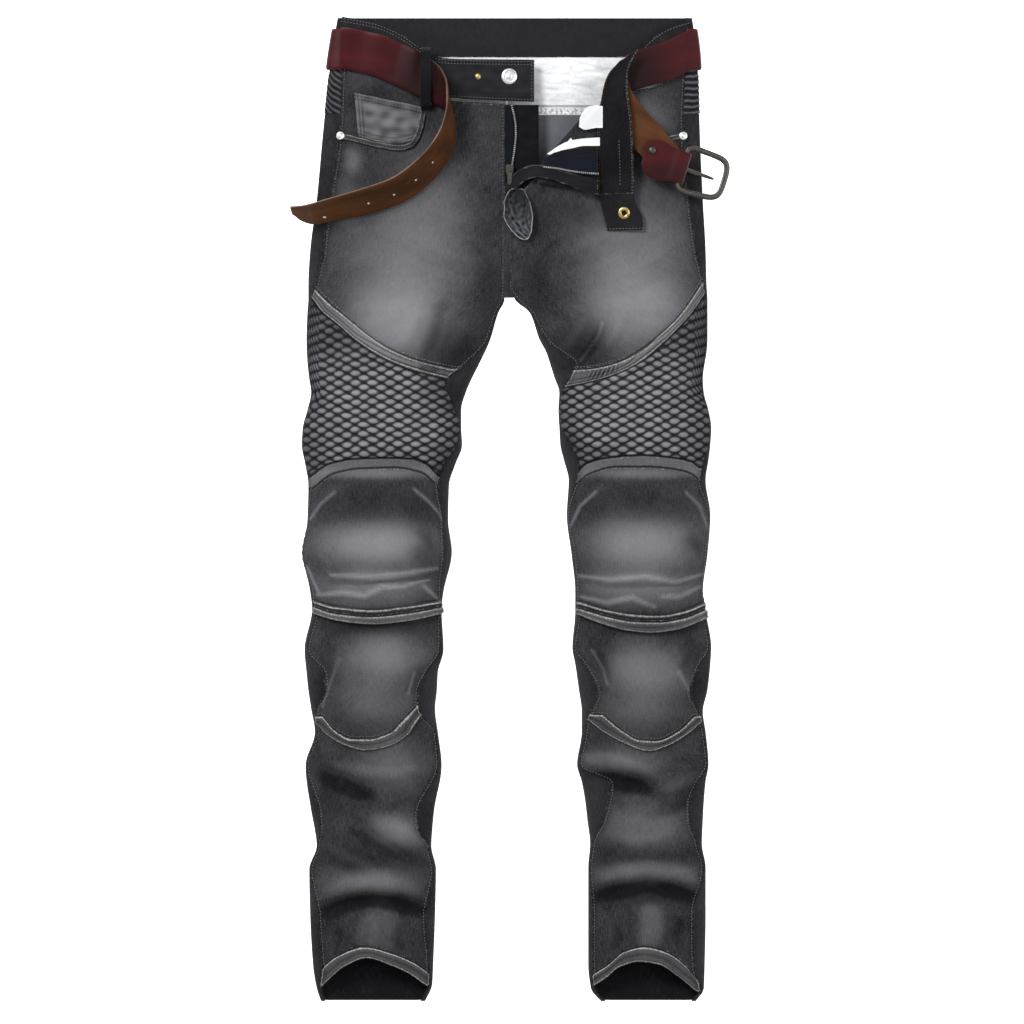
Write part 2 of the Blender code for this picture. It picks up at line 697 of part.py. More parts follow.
def make_leg(side):
    """All pieces of one leg, from the waist seam to the hem."""
    quilted_panel(side)
    panel(f"thigh_band_{side}", side, "thigh_top", "thigh_low", "denim_faded", rows=3,
          lift=(0.9, 0.9), thickness=DOUBLED)
    panel(f"knee_top_band_{side}", side, "knee_top", "knee_low", "denim_faded",
          lift=(1.2, 1.2), thickness=DOUBLED)
    panel(f"knee_panel_{side}", side, "knee_low", "cap_hem", "denim_faded", lift=(0.4, 5.0))
    panel(f"knee_hem_band_{side}", side, "cap_hem", "cap_end", "denim_faded", rows=3,
          lift=(5.4, 5.0), thickness=DOUBLED)
    panel(f"shin_panel_{side}", side, "cap_hem", "rim_in", "denim", reach=(2.0, -HALF_GAP))
    panel(f"shin_rim_{side}", side, "rim_in", "rim_out", "denim_faded", rows=3, lift=(2.4, 2.4),
          thickness=DOUBLED, reach=(-2.0, 0.0))
    panel(f"lower_leg_front_{side}", side, "rim_in", "hem_top", "denim")
    panel(f"hem_band_{side}", side, "hem_top", "hem_end", "denim_faded", rows=3, lift=(0.8, 0.8),
          thickness=DOUBLED)
    downs = [YOKE_LOW + HALF_GAP] + [down for down in KEY_DOWNS[side] if down > YOKE_LOW]
    back_wall(f"back_leg_{side}", side, downs, BACK_SHARES, "denim_inside")
    yoke_shares = [s for s in BACK_SHARES if s >= SIDE_SHARE + 0.02]
    back_wall(f"yoke_{side}", side, [BACK_BAND_LOW + HALF_GAP, 66, 85, YOKE_LOW - HALF_GAP],
              [SIDE_SHARE + 0.004] + yoke_shares, "yoke_lining")
    insert_shares = [0.0, 0.03, 0.06, 0.09, SIDE_SHARE]
    downs = [lerp(52.0, YOKE_LOW - HALF_GAP, s) for s in steps(9)]
    hip_insert(side, downs, insert_shares)


def hip_insert(side, downs, shares):
    """The stretch insert at the hip, its ribs raised in the outer points."""
    def surface(down, share):
        return back_point(side, down, share)

    outside, inside = [], []
    for i, down in enumerate(downs):
        outside.append([])
        inside.append([])
        for j, share in enumerate(shares):
            normal = normal_of(surface, down, share, 1.0, 0.006, Vector((0, 0, 1)))
            rib = RIB_LIFT if i % 2 and down > BELT_LOW and 0 < j < len(shares) - 1 else 0.0
            outside[-1].append(surface(down, share) + normal * rib)
            inside[-1].append(surface(down, share) - normal * DENIM)
    wall(f"hip_insert_{side}", outside, inside, "denim")


def deck_strip(name, lines, slot, lift, thickness, between=3):
    """A piece on the hips between two or more matching lines of (x, down) points."""
    outside, inside = [], []
    for row in lines:
        outside.append([])
        inside.append([])
        for j in range(between):
            x = lerp(row[0], row[2], j / (between - 1))
            down = lerp(row[1], row[3], j / (between - 1))
            normal = normal_of(deck_point, x, down, 1.0, 1.0, Vector((0, 0, 1)))
            outside[-1].append(deck_point(x, down) + normal * lift)
            inside[-1].append(deck_point(x, down) + normal * (lift - thickness))
    return wall(name, outside, inside, slot)


def sheet_between(name, rows, slot, thickness, between=4):
    """A wall of even thickness about a ruled surface, each row ax, ad, az, bx, bd, bz."""
    middle = [[place(lerp(r[0], r[3], s), lerp(r[1], r[4], s), lerp(r[2], r[5], s))
               for s in steps(between)] for r in rows]
    return even_wall(name, middle, slot, thickness)


def even_wall(name, middle, slot, thickness, missing=(), pivot=Vector()):
    """A wall of even thickness about a grid of points."""
    last_row, last_col = len(middle) - 1, len(middle[0]) - 1
    outside, inside = [], []
    for i, row in enumerate(middle):
        outside.append([])
        inside.append([])
        for j, point in enumerate(row):
            along = middle[min(i + 1, last_row)][j] - middle[max(i - 1, 0)][j]
            across = row[min(j + 1, last_col)] - row[max(j - 1, 0)]
            normal = along.cross(across).normalized() * (thickness / 2)
            outside[-1].append(point + normal)
            inside[-1].append(point - normal)
    return wall(name, outside, inside, slot, missing, pivot)


def leg_shell_rows(side, down, shares, lifts):
    """Points of the hip ring moved outwards, for what is wrapped round the waist."""
    def surface(a, b):
        return back_point(side, a, b)

    row = []
    for share, lift in zip(shares, lifts):
        middle = place((measure(side, "outer", down) + CENTRE_X) / 2, down, side_height(down))
        point = surface(down, share)
        normal = normal_of(surface, down, share, 1.0, 0.006, point - middle)
        row.append(point + normal * lift)
    return row


def waist_ring(name, downs, shares, lifts, thickness, slot):
    """One piece round the back of the waist, from side to side."""
    outside, inside = [], []
    for down in downs:
        rows = []
        for shift in (0.0, -thickness):
            moved = [lift + shift for lift in lifts]
            right = leg_shell_rows("right", down, shares, moved)
            left = leg_shell_rows("left", down, shares, moved)
            rows.append(right + left[::-1])
        outside.append(rows[0])
        inside.append(rows[1])
    return wall(name, outside, inside, slot)


def turned(name, centre, axis, profile, slot, segments=16):
    """A round piece from (radius, height) points; a profile that ends off the axis closes on itself."""
    axis = axis.normalized()
    side_a = axis.orthogonal().normalized()
    side_b = axis.cross(side_a)
    mesh = bmesh.new()
    rings = []
    for radius, height in profile:
        if radius == 0.0:
            rings.append([mesh.verts.new((centre + axis * height) * MM)])
            continue
        ring = []
        for k in range(segments):
            angle = 2 * math.pi * k / segments
            spoke = side_a * math.cos(angle) + side_b * math.sin(angle)
            ring.append(mesh.verts.new((centre + axis * height + spoke * radius) * MM))
        rings.append(ring)
    pairs = list(zip(rings, rings[1:]))
    if profile[0][0] > 0.0:
        pairs.append((rings[-1], rings[0]))
    for low, high in pairs:
        for k in range(segments):
            n = (k + 1) % segments
            corners = [low[k % len(low)], low[n % len(low)], high[n % len(high)], high[k % len(high)]]
            mesh.faces.new(list(dict.fromkeys(corners)))
    bmesh.ops.recalc_face_normals(mesh, faces=mesh.faces)
    return add_object(name, mesh, slot)


def swept_loop(name, stations, slot, closed=True, pivot=Vector()):
    """A body through matching rings of points, joined end to end or capped."""
    mesh = bmesh.new()
    rings = [[mesh.verts.new(p * MM) for p in ring] for ring in stations]
    count = len(rings[0])
    last = len(rings) if closed else len(rings) - 1
    for i in range(last):
        a, b = rings[i], rings[(i + 1) % len(rings)]
        for k in range(count):
            n = (k + 1) % count
            mesh.faces.new((a[k], a[n], b[n], b[k]))
    if not closed:
        mesh.faces.new(rings[0][::-1])
        mesh.faces.new(rings[-1])
    bmesh.ops.recalc_face_normals(mesh, faces=mesh.faces)
    return add_object(name, mesh, slot, pivot)


def standing_row(ax, ad, bx, bd, lift, between=4):
    """A row across the belt: edge b on what it lies on, edge a raised by the width left over."""
    flat = math.hypot(ax - bx, ad - bd)
    rise = math.sqrt(max(0.0, BELT_WIDTH ** 2 - flat ** 2))
    foot = deck_point(bx, bd).z + lift
    head = max(foot, deck_point(ax, ad).z + lift) if rise < 12.0 else foot
    row = []
    for s in steps(between):
        x, down = lerp(ax, bx, s), lerp(ad, bd, s)
        z = lerp(head + rise, foot, s)
        if rise < 12.0:
            z = max(z, deck_point(x, down).z + lift)
        row.append(place(x, down, z))
    return row


def bar_point(out, along, up):
    """A point about the middle of the buckle's bar, out and up level, along the bar."""
    return place(BAR[0] + BAR_OUT[0] * out + BAR_ALONG[0] * along,
                 BAR[1] + BAR_OUT[1] * out + BAR_ALONG[1] * along, BAR[2] + up)


def folded_row(out, up, half, shift=0.0):
    """A row across the belt where it is doubled round the bar."""
    return [bar_point(out, shift + lerp(-half, half, s), up) for s in BELT_COLUMNS]


def make_belt():
    lifts = (3.8, 3.6, 3.0, 2.6, 2.2, 2.0, 2.0, 2.0, 2.0)
    shares = WAIST_SHARES
    half = BELT_THICKNESS / 2
    waist_ring("belt_back", (15.5, 30, 44, 59), shares, [lift + half for lift in lifts],
               BELT_THICKNESS, "belt_leather")
    even_wall("belt_free_end", [standing_row(*row) for row in FREE_END_ROWS], "belt_leather",
              BELT_THICKNESS)
    rows = [[place(lerp(r[0], r[3], s), lerp(r[1], r[4], s), lerp(r[2], r[5], s))
             for s in BELT_COLUMNS] for r in BUCKLE_END_ROWS]
    rows.append(folded_row(-4.0, -WRAP_RADIUS, BAR_HALF_BELT))
    for k in range(5):
        angle = math.pi * k / 4
        rows.append(folded_row(WRAP_RADIUS * math.sin(angle), -WRAP_RADIUS * math.cos(angle),
                               BAR_HALF_BELT))
    rows.append(folded_row(-6.0, 4.4, BAR_HALF_BELT))
    rows.append(folded_row(-14.0, 3.6, 18.5, 0.5))
    rows.append(folded_row(-27.0, 4.4, 21.0, 0.0))
    rows.append(folded_row(-37.0, 5.6, 19.0, -1.0))
    rows.append(folded_row(-43.0, 6.2, 11.0, -1.5))
    slot = {(i, 2) for i in range(len(BUCKLE_END_ROWS), len(BUCKLE_END_ROWS) + 6)}
    even_wall("belt_buckle_end", rows, "belt_leather", BELT_THICKNESS, slot)
    turned("belt_rivet", bar_point(-36.0, -8.0, 7.6), Vector((0, 0, 1)),
           ((0, 0), (3.6, 0), (3.9, 0.6), (3.0, 1.4), (0, 1.7)), "gunmetal", 12)


def make_buckle():
    """The frame about its bar, and the prong that hooks round the bar."""
    half = list(FRAME_HALF)
    path = half + [(u, -v, w) for u, v, w in reversed(half) if v > 0]
    drop = math.radians(FRAME_DROP)
    stations = []
    for k, (out, along, width) in enumerate(path):
        before, after = path[k - 1], path[(k + 1) % len(path)]
        tangent = Vector((after[0] - before[0], after[1] - before[1])).normalized()
        normal = (tangent.y, -tangent.x)
        thick = 2.1 if out == 0 else 1.9
        ring = []
        for j in range(8):
            angle = 2 * math.pi * j / 8
            u = out + normal[0] * width * math.cos(angle)
            v = along + normal[1] * width * math.cos(angle)
            w = thick * math.sin(angle)
            ring.append(bar_point(u * math.cos(drop) + w * math.sin(drop), v,
                                  w * math.cos(drop) - u * math.sin(drop)))
        stations.append(ring)
    swept_loop("buckle_frame", stations, "gunmetal", pivot=bar_point(0, 0, 0))
    fall = math.radians(PRONG_DROP)
    ahead = (math.cos(fall), -math.sin(fall))
    below = (-math.sin(fall), -math.cos(fall))
    spine = []
    for degrees in (250, 215, 180, 145, 110, 75, 40, 0):
        angle = math.radians(degrees)
        spine.append((HOOK_RADIUS * (below[0] * math.cos(angle) - ahead[0] * math.sin(angle)),
                      HOOK_RADIUS * (below[1] * math.cos(angle) - ahead[1] * math.sin(angle)), 2.4))
    for reach, width in ((10, 2.3), (26, 2.0), (38, 1.7), (PRONG_LENGTH, 1.1)):
        spine.append((HOOK_RADIUS * below[0] + ahead[0] * reach,
                      HOOK_RADIUS * below[1] + ahead[1] * reach, width))
    rows = [[bar_point(out, along, up) for along in (-width, 0, width)] for out, up, width in spine]
    even_wall("buckle_prong", rows, "gunmetal", PRONG_THICKNESS, pivot=bar_point(0, 0, 0))


def make_belt_loops():
    for name, x in (("centre", CENTRE_X), ("back_right", -112.0), ("back_left", 100.0)):
        rows = [(x - 6, d, z, x + 6, d, z) for d, z in ((7.5, 4.2), (8.2, 0.9), (22, 0.75), (50, 0.75),
                                                        (65.2, 0.9), (66, 4.2))]
        sheet_between(f"belt_loop_{name}", rows, "denim", DENIM, between=2)
    rows = []
    for down, lift in ((36, 2.5), (38, 12), (42, 19), (60, 18.5), (78, 15), (92, 11), (99, 8.5),
                       (101, 2.0)):
        low, high = deck_point(LOOP_X[0], down).z, deck_point(LOOP_X[1], down).z
        rows.append((LOOP_X[0], down, low + lift, LOOP_X[1], down, high + lift))
    sheet_between("belt_loop_front", rows, "denim", DENIM, between=2)


def flap_point(t, s):
    """The turned-over left front: t along its fold from the crotch, s away from the fold."""
    px = lerp(FOLD_START[0], FOLD_END[0], t)
    pd = lerp(FOLD_START[1], FOLD_END[1], t)
    qx, qd, rise = (through([(row[0], row[k]) for row in FLY_EDGE], t) for k in (1, 2, 3))
    x, down = lerp(px, qx, s), lerp(pd, qd, s)
    roll = lerp(5.6, 11.0, t)
    return place(x, down, deck_point(x, down).z + lerp(roll, rise, s))


def make_flap():
    """The left front turned over: a rolled fold, its inside up, with the waistband and tab."""
    away = Vector((-(FOLD_START[1] - FOLD_END[1]), FOLD_END[0] - FOLD_START[0], 0)).normalized()
    grid = []
    for t in steps(9):
        foot = flap_point(t, 0.0)
        deck = deck_point(lerp(FOLD_START[0], FOLD_END[0], t), lerp(FOLD_START[1], FOLD_END[1], t)).z
        radius = (foot.z - deck) / 2
        centre = Vector((foot.x, foot.y, deck + radius))
        row = [centre + away * radius * math.cos(math.radians(a))
               + Vector((0, 0, radius * math.sin(math.radians(a)))) for a in (-90, -44, 0, 40, 78)]
        grid.append(row + [flap_point(t, s) for s in (0.12, 0.4, 0.7, 0.985)])
    even_wall("fly_flap", grid, "denim_inside", DENIM)
    facing = [[flap_point(t, s) + Vector((0, 0, 1.8)) for s in (0.5, 0.7, 0.9)]
              for t in (0.14, 0.2, 0.27, 0.33)]
    even_wall("fly_facing", facing, "zip_tape", 1.0)
    bag = [[flap_point(t, s) + Vector((0, 0, 1.8)) for s in (0.02, 0.12, 0.22)]
           for t in (0.22, 0.35, 0.48, 0.6)]
    even_wall("pocket_bag", bag, "pocket_cloth", 1.0)
    rows = ((133, 40, 37.5, 113, 52, 37.0), (125, 54, 38.5, 101, 66, 35.5), (121.5, 68, 39.5, 96, 80, 34.5),
            (121.5, 84, 40, 93, 96, 33.5), (123.5, 100, 40.5, 90.0, 110, 33),
            (125.5, 116, 40.5, 89.8, 126, 32.0), (127, 145, 39, 89.8, 150, 30),
            (128, 170, 34, 89.8, 172, 27.8), (128, 192, 29.0, 89.8, 193, 26.4))
    sheet_between("waistband_left_flap", rows, "denim", WAISTBAND, between=4)
    rows = ((129, 192.5, 28.6, 90, 193.5, 26.2), (130, 202, 26.4, 92.5, 203, 25.2),
            (136, 213, 25.2, 96, 215, 24.4), (138.5, 222, 24.2, 98.5, 224, 23.6),
            (138, 231, 23.4, 100, 232, 23.2))
    sheet_between("waistband_tab", rows, "denim", WAISTBAND, between=4)
    deck_strip("waistband_left_front", ((184.1, 8, 183.9, 46), (165, 15, 173, 54), (148, 26, 163, 63.4),
                                        (138, 36, 151, 73.6)), "denim", WAISTBAND_LIFT, WAISTBAND)


def make_fly():
    """The closed right side: tape, shield, slider and pull, and the curled end of the left fly."""
    deck_strip("zip_tape_right", [(-8.4, d, -0.4, d) for d in (97, 115, 135, 155, 175, 190)],
               "zip_tape", 0.1, 0.8, between=2)
    deck_strip("fly_shield", [(-16, d, 27, d) for d in (97, 117, 137, 157, 178)],
               "denim", -2.2, DENIM, between=4)
    rows = []
    for down, low, high, wing in ((190, -7, 11, 6.5), (204, -10, 17, 8.5), (217, -10, 20, 9),
                                  (229, -4, 20, 8), (240, 6, 16, 4)):
        row = []
        for s in steps(6):
            x = lerp(low, high, s)
            row.append(place(x, down, deck_point(x, down).z + 1.6 + wing * (2 * s - 1) ** 4))
        rows.append(row)
    even_wall("fly_curl", rows, "denim_faded", DENIM)
    slider_z = deck_point(SLIDER[0], SLIDER[1]).z + 0.5
    slider = []
    for down, width, top in ((-6, 3.2, 2.2), (-4.6, 4.2, 2.8), (3, 3.9, 2.8), (5, 2.9, 2.2)):
        x, d = SLIDER[0], SLIDER[1] + down
        slider.append([place(x - width, d, slider_z), place(x + width, d, slider_z),
                       place(x + width, d, slider_z + top), place(x - width, d, slider_z + top)])
    body = swept_loop("zip_slider", slider, "gunmetal", closed=False)
    add_post(body, place(SLIDER[0], SLIDER[1], slider_z + 2.5), (0.8, 1.1, PULL_AXIS + 0.9))
    pull_z = slider_z + 2.8 + PULL_AXIS
    outline = ((-2.6, -1.3), (-1.2, -1.3), (-1.2, 2.2), (1.2, 2.2), (1.2, -1.3), (2.6, -1.3), (2.6, 6),
               (2.2, 13.5), (1.2, 15.6), (-1.2, 15.6), (-2.2, 13.5), (-2.6, 6))
    mesh = bmesh.new()
    low = [mesh.verts.new(place(SLIDER[0] + x, SLIDER[1] + d, pull_z - 0.55) * MM) for x, d in outline]
    high = [mesh.verts.new(place(SLIDER[0] + x, SLIDER[1] + d, pull_z + 0.55) * MM) for x, d in outline]
    mesh.faces.new(high)
    mesh.faces.new(low[::-1])
    for k in range(len(outline)):
        n = (k + 1) % len(outline)
        mesh.faces.new((low[k], low[n], high[n], high[k]))
    bmesh.ops.recalc_face_normals(mesh, faces=mesh.faces)
    add_object("zip_pull", mesh, "gunmetal", place(SLIDER[0], SLIDER[1], pull_z))


def add_post(body, foot, size):
    """Union a small post onto the slider, between the arms of the pull."""
    half_x, half_y, height = size
    mesh = bmesh.new()
    bmesh.ops.create_cube(mesh, size=1.0)
    for v in mesh.verts:
        v.co = (foot + Vector((v.co.x * 2 * half_x, v.co.y * 2 * half_y, (v.co.z + 0.5) * height))) * MM
    data = bpy.data.meshes.new("slider_post")
    mesh.to_mesh(data)
    mesh.free()
    post = bpy.data.objects.new("slider_post", data)
    post.location = body.location
    bpy.context.scene.collection.objects.link(post)
    post.hide_render = True
    post.display_type = "WIRE"
    union = body.modifiers.new("post", "BOOLEAN")
    union.operation = "UNION"
    union.solver = "EXACT"
    union.object = post


def make_pockets():
    """The curved pocket mouths, the coin pocket and the rivets at their ends."""
    for side, mouth in POCKET_MOUTHS.items():
        rows = []
        for k, (x, down) in enumerate(mouth):
            before, after = mouth[max(k - 1, 0)], mouth[min(k + 1, len(mouth) - 1)]
            run = Vector((after[0] - before[0], after[1] - before[1])).normalized()
            inward = Vector((run.y, -run.x)) * (1 if side == "right" else -1)
            rows.append((x, down, x + inward.x * BAND_WIDTH, down + inward.y * BAND_WIDTH))
        deck_strip(f"pocket_facing_{side}", rows, "denim_faded", POCKET_LIFT[side], 1.2, between=2)
    deck_strip("coin_pocket", ((-170, 84, -166, 130), (-150, 88, -147, 136), (-130, 92.5, -127, 139),
                               (-112, 96, -111, 136), (-98, 99.5, -102, 130)),
               "denim_faded", 1.5, 1.2, between=4)
    for name, (x, down, lift) in RIVETS.items():
        turned(f"pocket_rivet_{name}", deck_point(x, down) + Vector((0, 0, lift)), Vector((0, 0, 1)),
               ((0, 0), (4.2, 0), (4.4, 0.5), (3.2, 1.3), (0, 1.5)), "white_metal", 12)


def make_waist():
    waist_ring("waistband_back", (BACK_BAND_TOP, 17, 31, BACK_BAND_LOW),
               WAIST_SHARES, [0.0] * len(WAIST_SHARES), 2.2, "denim")
    deck_strip("waistband_right_front", ((-180.5, 2.5, -181.5, 45.5), (-161, 6, -164.5, 50),
                                         (-143, 10.5, -148, 54), (-120, 21, -127, 63),
                                         (-100, 34.5, -106, 74.5), (-82, 46, -85, 87),
                                         (-60, 48, -61, 90), (-20, 48.5, -20, 92.3), (22, 49, 22, 94)),
               "denim", WAISTBAND_LIFT, WAISTBAND)
    turned("button", deck_point(-4.5, 67) + Vector((0, 0, WAISTBAND_LIFT + 0.4)), Vector((0, 0, 1)),
           ((0, 0), (8.0, 0), (8.6, 0.9), (8.2, 2.0), (6.4, 2.6), (0, 2.2)), "white_metal", 20)
    turned("waistband_stud", deck_point(-38, 67) + Vector((0, 0, WAISTBAND_LIFT + 0.4)),
           Vector((0, 0, 1)), ((0, 0), (3.0, 0), (3.2, 0.5), (2.2, 1.2), (0, 1.4)), "brass", 12)
    turned("tab_eyelet", place(118, 213, 24.9 + WAISTBAND / 2), Vector((-0.02, -0.11, 1)),
           ((2.6, 0.4), (6.2, 0.4), (6.2, 0.9), (4.6, 1.6), (2.6, 1.0)), "brass", 16)
    sheet_between("inner_label", ((70, 101, 3.2, 93, 99, 3.2), (71, 112, 2.6, 94, 111, 2.6),
                                  (72, 124, 3.4, 95, 122, 3.4)), "pocket_cloth", 0.8, between=3)


def make_all():
    start_clean()
    for side in SECTIONS:
        make_leg(side)
    panel("front_thigh_right", "right", "waist", "thigh_top", "denim",
          reach=(2.0, -HALF_GAP))
    panel("front_thigh_left", "left", "opened", "thigh_top", "denim",
          reach=(1.0, -HALF_GAP))
    make_waist()
    make_pockets()
    make_fly()
    make_flap()
    make_belt_loops()
    make_belt()
    make_buckle()


make_all()
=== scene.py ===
# %% [markdown]
# Slim black-grey motorcycle trousers lie flat with their front up, the waist undone and the belt
# still in its loops. The solids of the model give every piece its place. This script gives each
# one its cloth, leather or metal: finer surfaces on the same forms, listed creases, stitching,
# wear and weave. Lengths are in millimetres until a mesh is made.

# %% Load the fixed frame
import math

import bmesh
import bpy
import numpy as np
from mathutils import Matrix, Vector


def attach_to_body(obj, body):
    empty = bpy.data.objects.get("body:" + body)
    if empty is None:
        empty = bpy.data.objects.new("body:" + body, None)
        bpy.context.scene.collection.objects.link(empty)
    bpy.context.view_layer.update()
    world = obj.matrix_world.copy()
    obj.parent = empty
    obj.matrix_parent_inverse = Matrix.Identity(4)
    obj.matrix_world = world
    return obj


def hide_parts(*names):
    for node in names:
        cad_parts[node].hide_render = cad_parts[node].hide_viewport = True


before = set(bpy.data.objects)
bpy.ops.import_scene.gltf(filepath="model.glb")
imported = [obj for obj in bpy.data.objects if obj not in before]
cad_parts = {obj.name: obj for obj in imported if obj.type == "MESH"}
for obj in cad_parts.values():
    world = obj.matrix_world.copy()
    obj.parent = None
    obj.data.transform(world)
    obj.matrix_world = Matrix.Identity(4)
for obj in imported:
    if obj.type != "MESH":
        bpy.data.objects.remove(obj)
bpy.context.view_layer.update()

MM = 0.001
print("solids loaded:", len(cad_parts), "nodes")

# %% [markdown]
# The legs are tubes that lie on the floor. A table gives, at distances down from the waist, the
# outer and inner silhouette, how far in from them the two seams lie, and the height of the front.
# A curve that never overshoots joins the rows, so that a few numbers make a whole leg.

# %% Sizes of the legs
LENGTH = 1056.0
CENTRE_X = -7.0
MIDDLE = (-2.71, -1.23)
DENIM = 1.2
CROTCH = (250.0, 312.0)
CURL = 0.25
SIDE_SHARE = 0.12

FIELDS = ("outer", "inner", "outer_seam", "inner_seam", "crest")
SECTIONS = {
    "right": (
        (0, -188, -7.2, 6, 1.5, 19), (50, -196, -7.2, 13, 1.5, 20), (134, -205, -7.2, 18, 1.5, 21),
        (198, -211, -7.2, 15, 1.5, 22), (252, -218, -7.2, 15, 1.5, 24), (289, -220, -7.6, 9, 1.5, 28),
        (305, -220, -9, 4, 2, 30), (318, -221, -16, 2, 2, 32), (348, -222, -25, 2, 3, 33),
        (372, -221, -36, 2, 13, 32), (390, -219, -45, 2, 26, 34), (404, -217, -51, 2, 18, 36),
        (423, -221, -56, 2, 7, 38), (442, -226, -56, 2, 2, 39), (460, -227, -55, 2, 6, 37),
        (483, -223, -63, 2, 12, 30), (503, -220, -69, 2, 12, 34), (541, -221, -70, 2, 7, 42),
        (575, -226, -66, 2, 10, 44), (618, -218, -75, 6, 6, 42), (636, -216, -77, 5, 2, 38),
        (680, -224, -75, 4, 4, 33), (704, -222, -81, 20, 13, 34), (723, -220, -82, 20, 20, 36),
        (743, -217, -84, 7, 18, 36), (768, -213, -81, 3, 3, 32), (804, -223, -77, 2, 4, 28),
        (852, -217, -85, 9, 17, 30), (873, -213, -87, 7, 14, 36), (890, -211, -88, 2, 3, 34),
        (915, -219, -83, 2, 3, 26), (964, -218, -84, 10, 10, 30), (1017, -215, -86, 11, 5, 26),
        (1038, -212, -87, 6, 4, 22), (1056, -206, -95, 4, 4, 19)),
    "left": (
        (0, 191, -6.8, 6, 1.5, 19), (50, 197, -6.8, 13, 1.5, 20), (134, 200, -6.8, 18, 1.5, 21),
        (198, 203, -6.8, 15, 1.5, 22), (252, 206, -6.8, 11, 1.5, 24), (289, 207, -6.4, 4, 1.5, 28),
        (305, 208, 1, 3, 3, 30), (318, 208, 17, 2, 2, 32), (348, 208, 28, 2, 7, 33),
        (361, 207, 35, 2, 16, 32), (373, 205, 39, 2, 26, 33), (389, 203, 44, 2, 17, 35),
        (404, 204, 49, 2, 3, 37), (423, 209, 48, 2, 1.5, 38), (442, 212, 49, 2, 3, 39),
        (460, 211, 50, 3, 12, 36), (477, 209, 54, 6, 15, 31), (498, 206, 59, 7, 9, 33),
        (536, 211, 57, 2, 2, 41), (577, 208, 62, 4, 5, 44), (618, 203, 66, 4, 5, 42),
        (639, 206, 66, 3, 4, 38), (678, 212, 63, 3, 2, 33), (695, 211, 66, 12, 10, 34),
        (723, 208, 70, 20, 20, 36), (746, 203, 73, 6, 10, 36), (768, 206, 73, 3, 4, 32),
        (803, 209, 68, 2, 3, 31), (821, 206, 73, 9, 30, 27), (844, 204, 77, 16, 24, 30),
        (862, 203, 79, 15, 17, 35), (888, 202, 82, 6, 3, 34), (913, 206, 80, 3, 2, 26),
        (964, 206, 80, 14, 5, 30), (1017, 205, 80, 12, 5, 26), (1043, 204, 83, 5, 4, 22),
        (1056, 195, 94, 4, 4, 19)),
}
CROSS_SEAMS = {
    "right": {
        "waist": ((-183, 46.5), (-164, 51.2), (-148, 55.3), (-127, 64.4), (-106, 75.9), (-85, 88.2),
                  (-61, 91.2), (-20, 93.5), (-7, 94)),
        "thigh_top": ((-214, 292), (-198, 308), (-174, 328), (-150, 347), (-126, 361), (-100, 371),
                      (-66, 379)),
        "thigh_low": ((-216, 303), (-205, 318), (-188, 332), (-170, 348), (-150, 362), (-129, 373),
                      (-105, 382), (-72, 390)),
        "knee_top": ((-217, 495), (-196, 481), (-170, 476), (-134, 475), (-108, 476), (-94, 481),
                     (-81, 494)),
        "knee_low": ((-215, 507), (-191, 491), (-164, 486), (-126, 485), (-99, 490), (-81, 504)),
        "cap_hem": ((-211, 633), (-188, 640), (-152, 643), (-117, 640), (-78, 633)),
        "cap_end": ((-213, 641), (-188, 648), (-150, 652), (-117, 649), (-78, 641)),
        "rim_in": ((-203, 752), (-189, 768), (-172, 776), (-155, 776), (-131, 769), (-114, 753),
                   (-101, 738)),
        "rim_out": ((-210, 758), (-197, 772), (-176, 783), (-159, 787), (-135, 783), (-114, 771),
                    (-98, 749)),
        "hem_top": ((-211, 1034), (-203, 1019), (-187, 1006), (-159, 996), (-131, 1003),
                    (-106, 1014), (-89, 1027)),
        "hem_end": ((-210, 1046), (-197, 1032), (-180, 1018), (-157, 1009), (-131, 1017),
                    (-112, 1026), (-93, 1040)),
    },
    "left": {
        "opened": ((-7, 205), (24, 172.5), (45, 150), (66, 127.2), (86, 105.6), (104, 90), (130, 80),
                   (153, 77), (164, 67), (175, 57), (187, 49)),
        "thigh_top": ((60, 381), (85, 379), (110, 373), (136, 359), (156, 343), (175, 325),
                      (190, 305), (203, 285)),
        "thigh_low": ((56, 399), (85, 393), (110, 385), (139, 370), (159, 353), (179, 333),
                      (195, 314), (206, 297)),
        "knee_top": ((68, 492), (78, 481), (99, 475), (136, 472), (172, 475), (190, 479),
                     (198, 485)),
        "knee_low": ((66, 503), (82, 491), (110, 484), (145, 484), (180, 488), (195, 495),
                     (202, 505)),
        "cap_hem": ((74, 635), (101, 643), (128, 648), (154, 649), (180, 645), (204, 636)),
        "cap_end": ((71, 642), (96, 652), (124, 659), (145, 661), (172, 658), (206, 646)),
        "rim_in": ((95, 750), (117, 768), (134, 777), (152, 778), (174, 769), (193, 752)),
        "rim_out": ((81, 755), (96, 767), (117, 779), (144, 788), (167, 781), (189, 767),
                    (201, 756)),
        "hem_top": ((85, 1027), (102, 1015), (119, 1001), (140, 996), (163, 1002), (182, 1015),
                    (195, 1032)),
        "hem_end": ((86, 1040), (100, 1030), (113, 1019), (134, 1013), (155, 1016), (176, 1029),
                    (196, 1046)),
    },
}

# %% [markdown]
# Cloth that has been worn creases in the same places: across the hips, behind the knee, above the
# ankle. Each crease is a short path with a height and a breadth, a ridge where the height is
# positive and a trough where it is negative. They are placed one by one, unevenly, as cloth is.

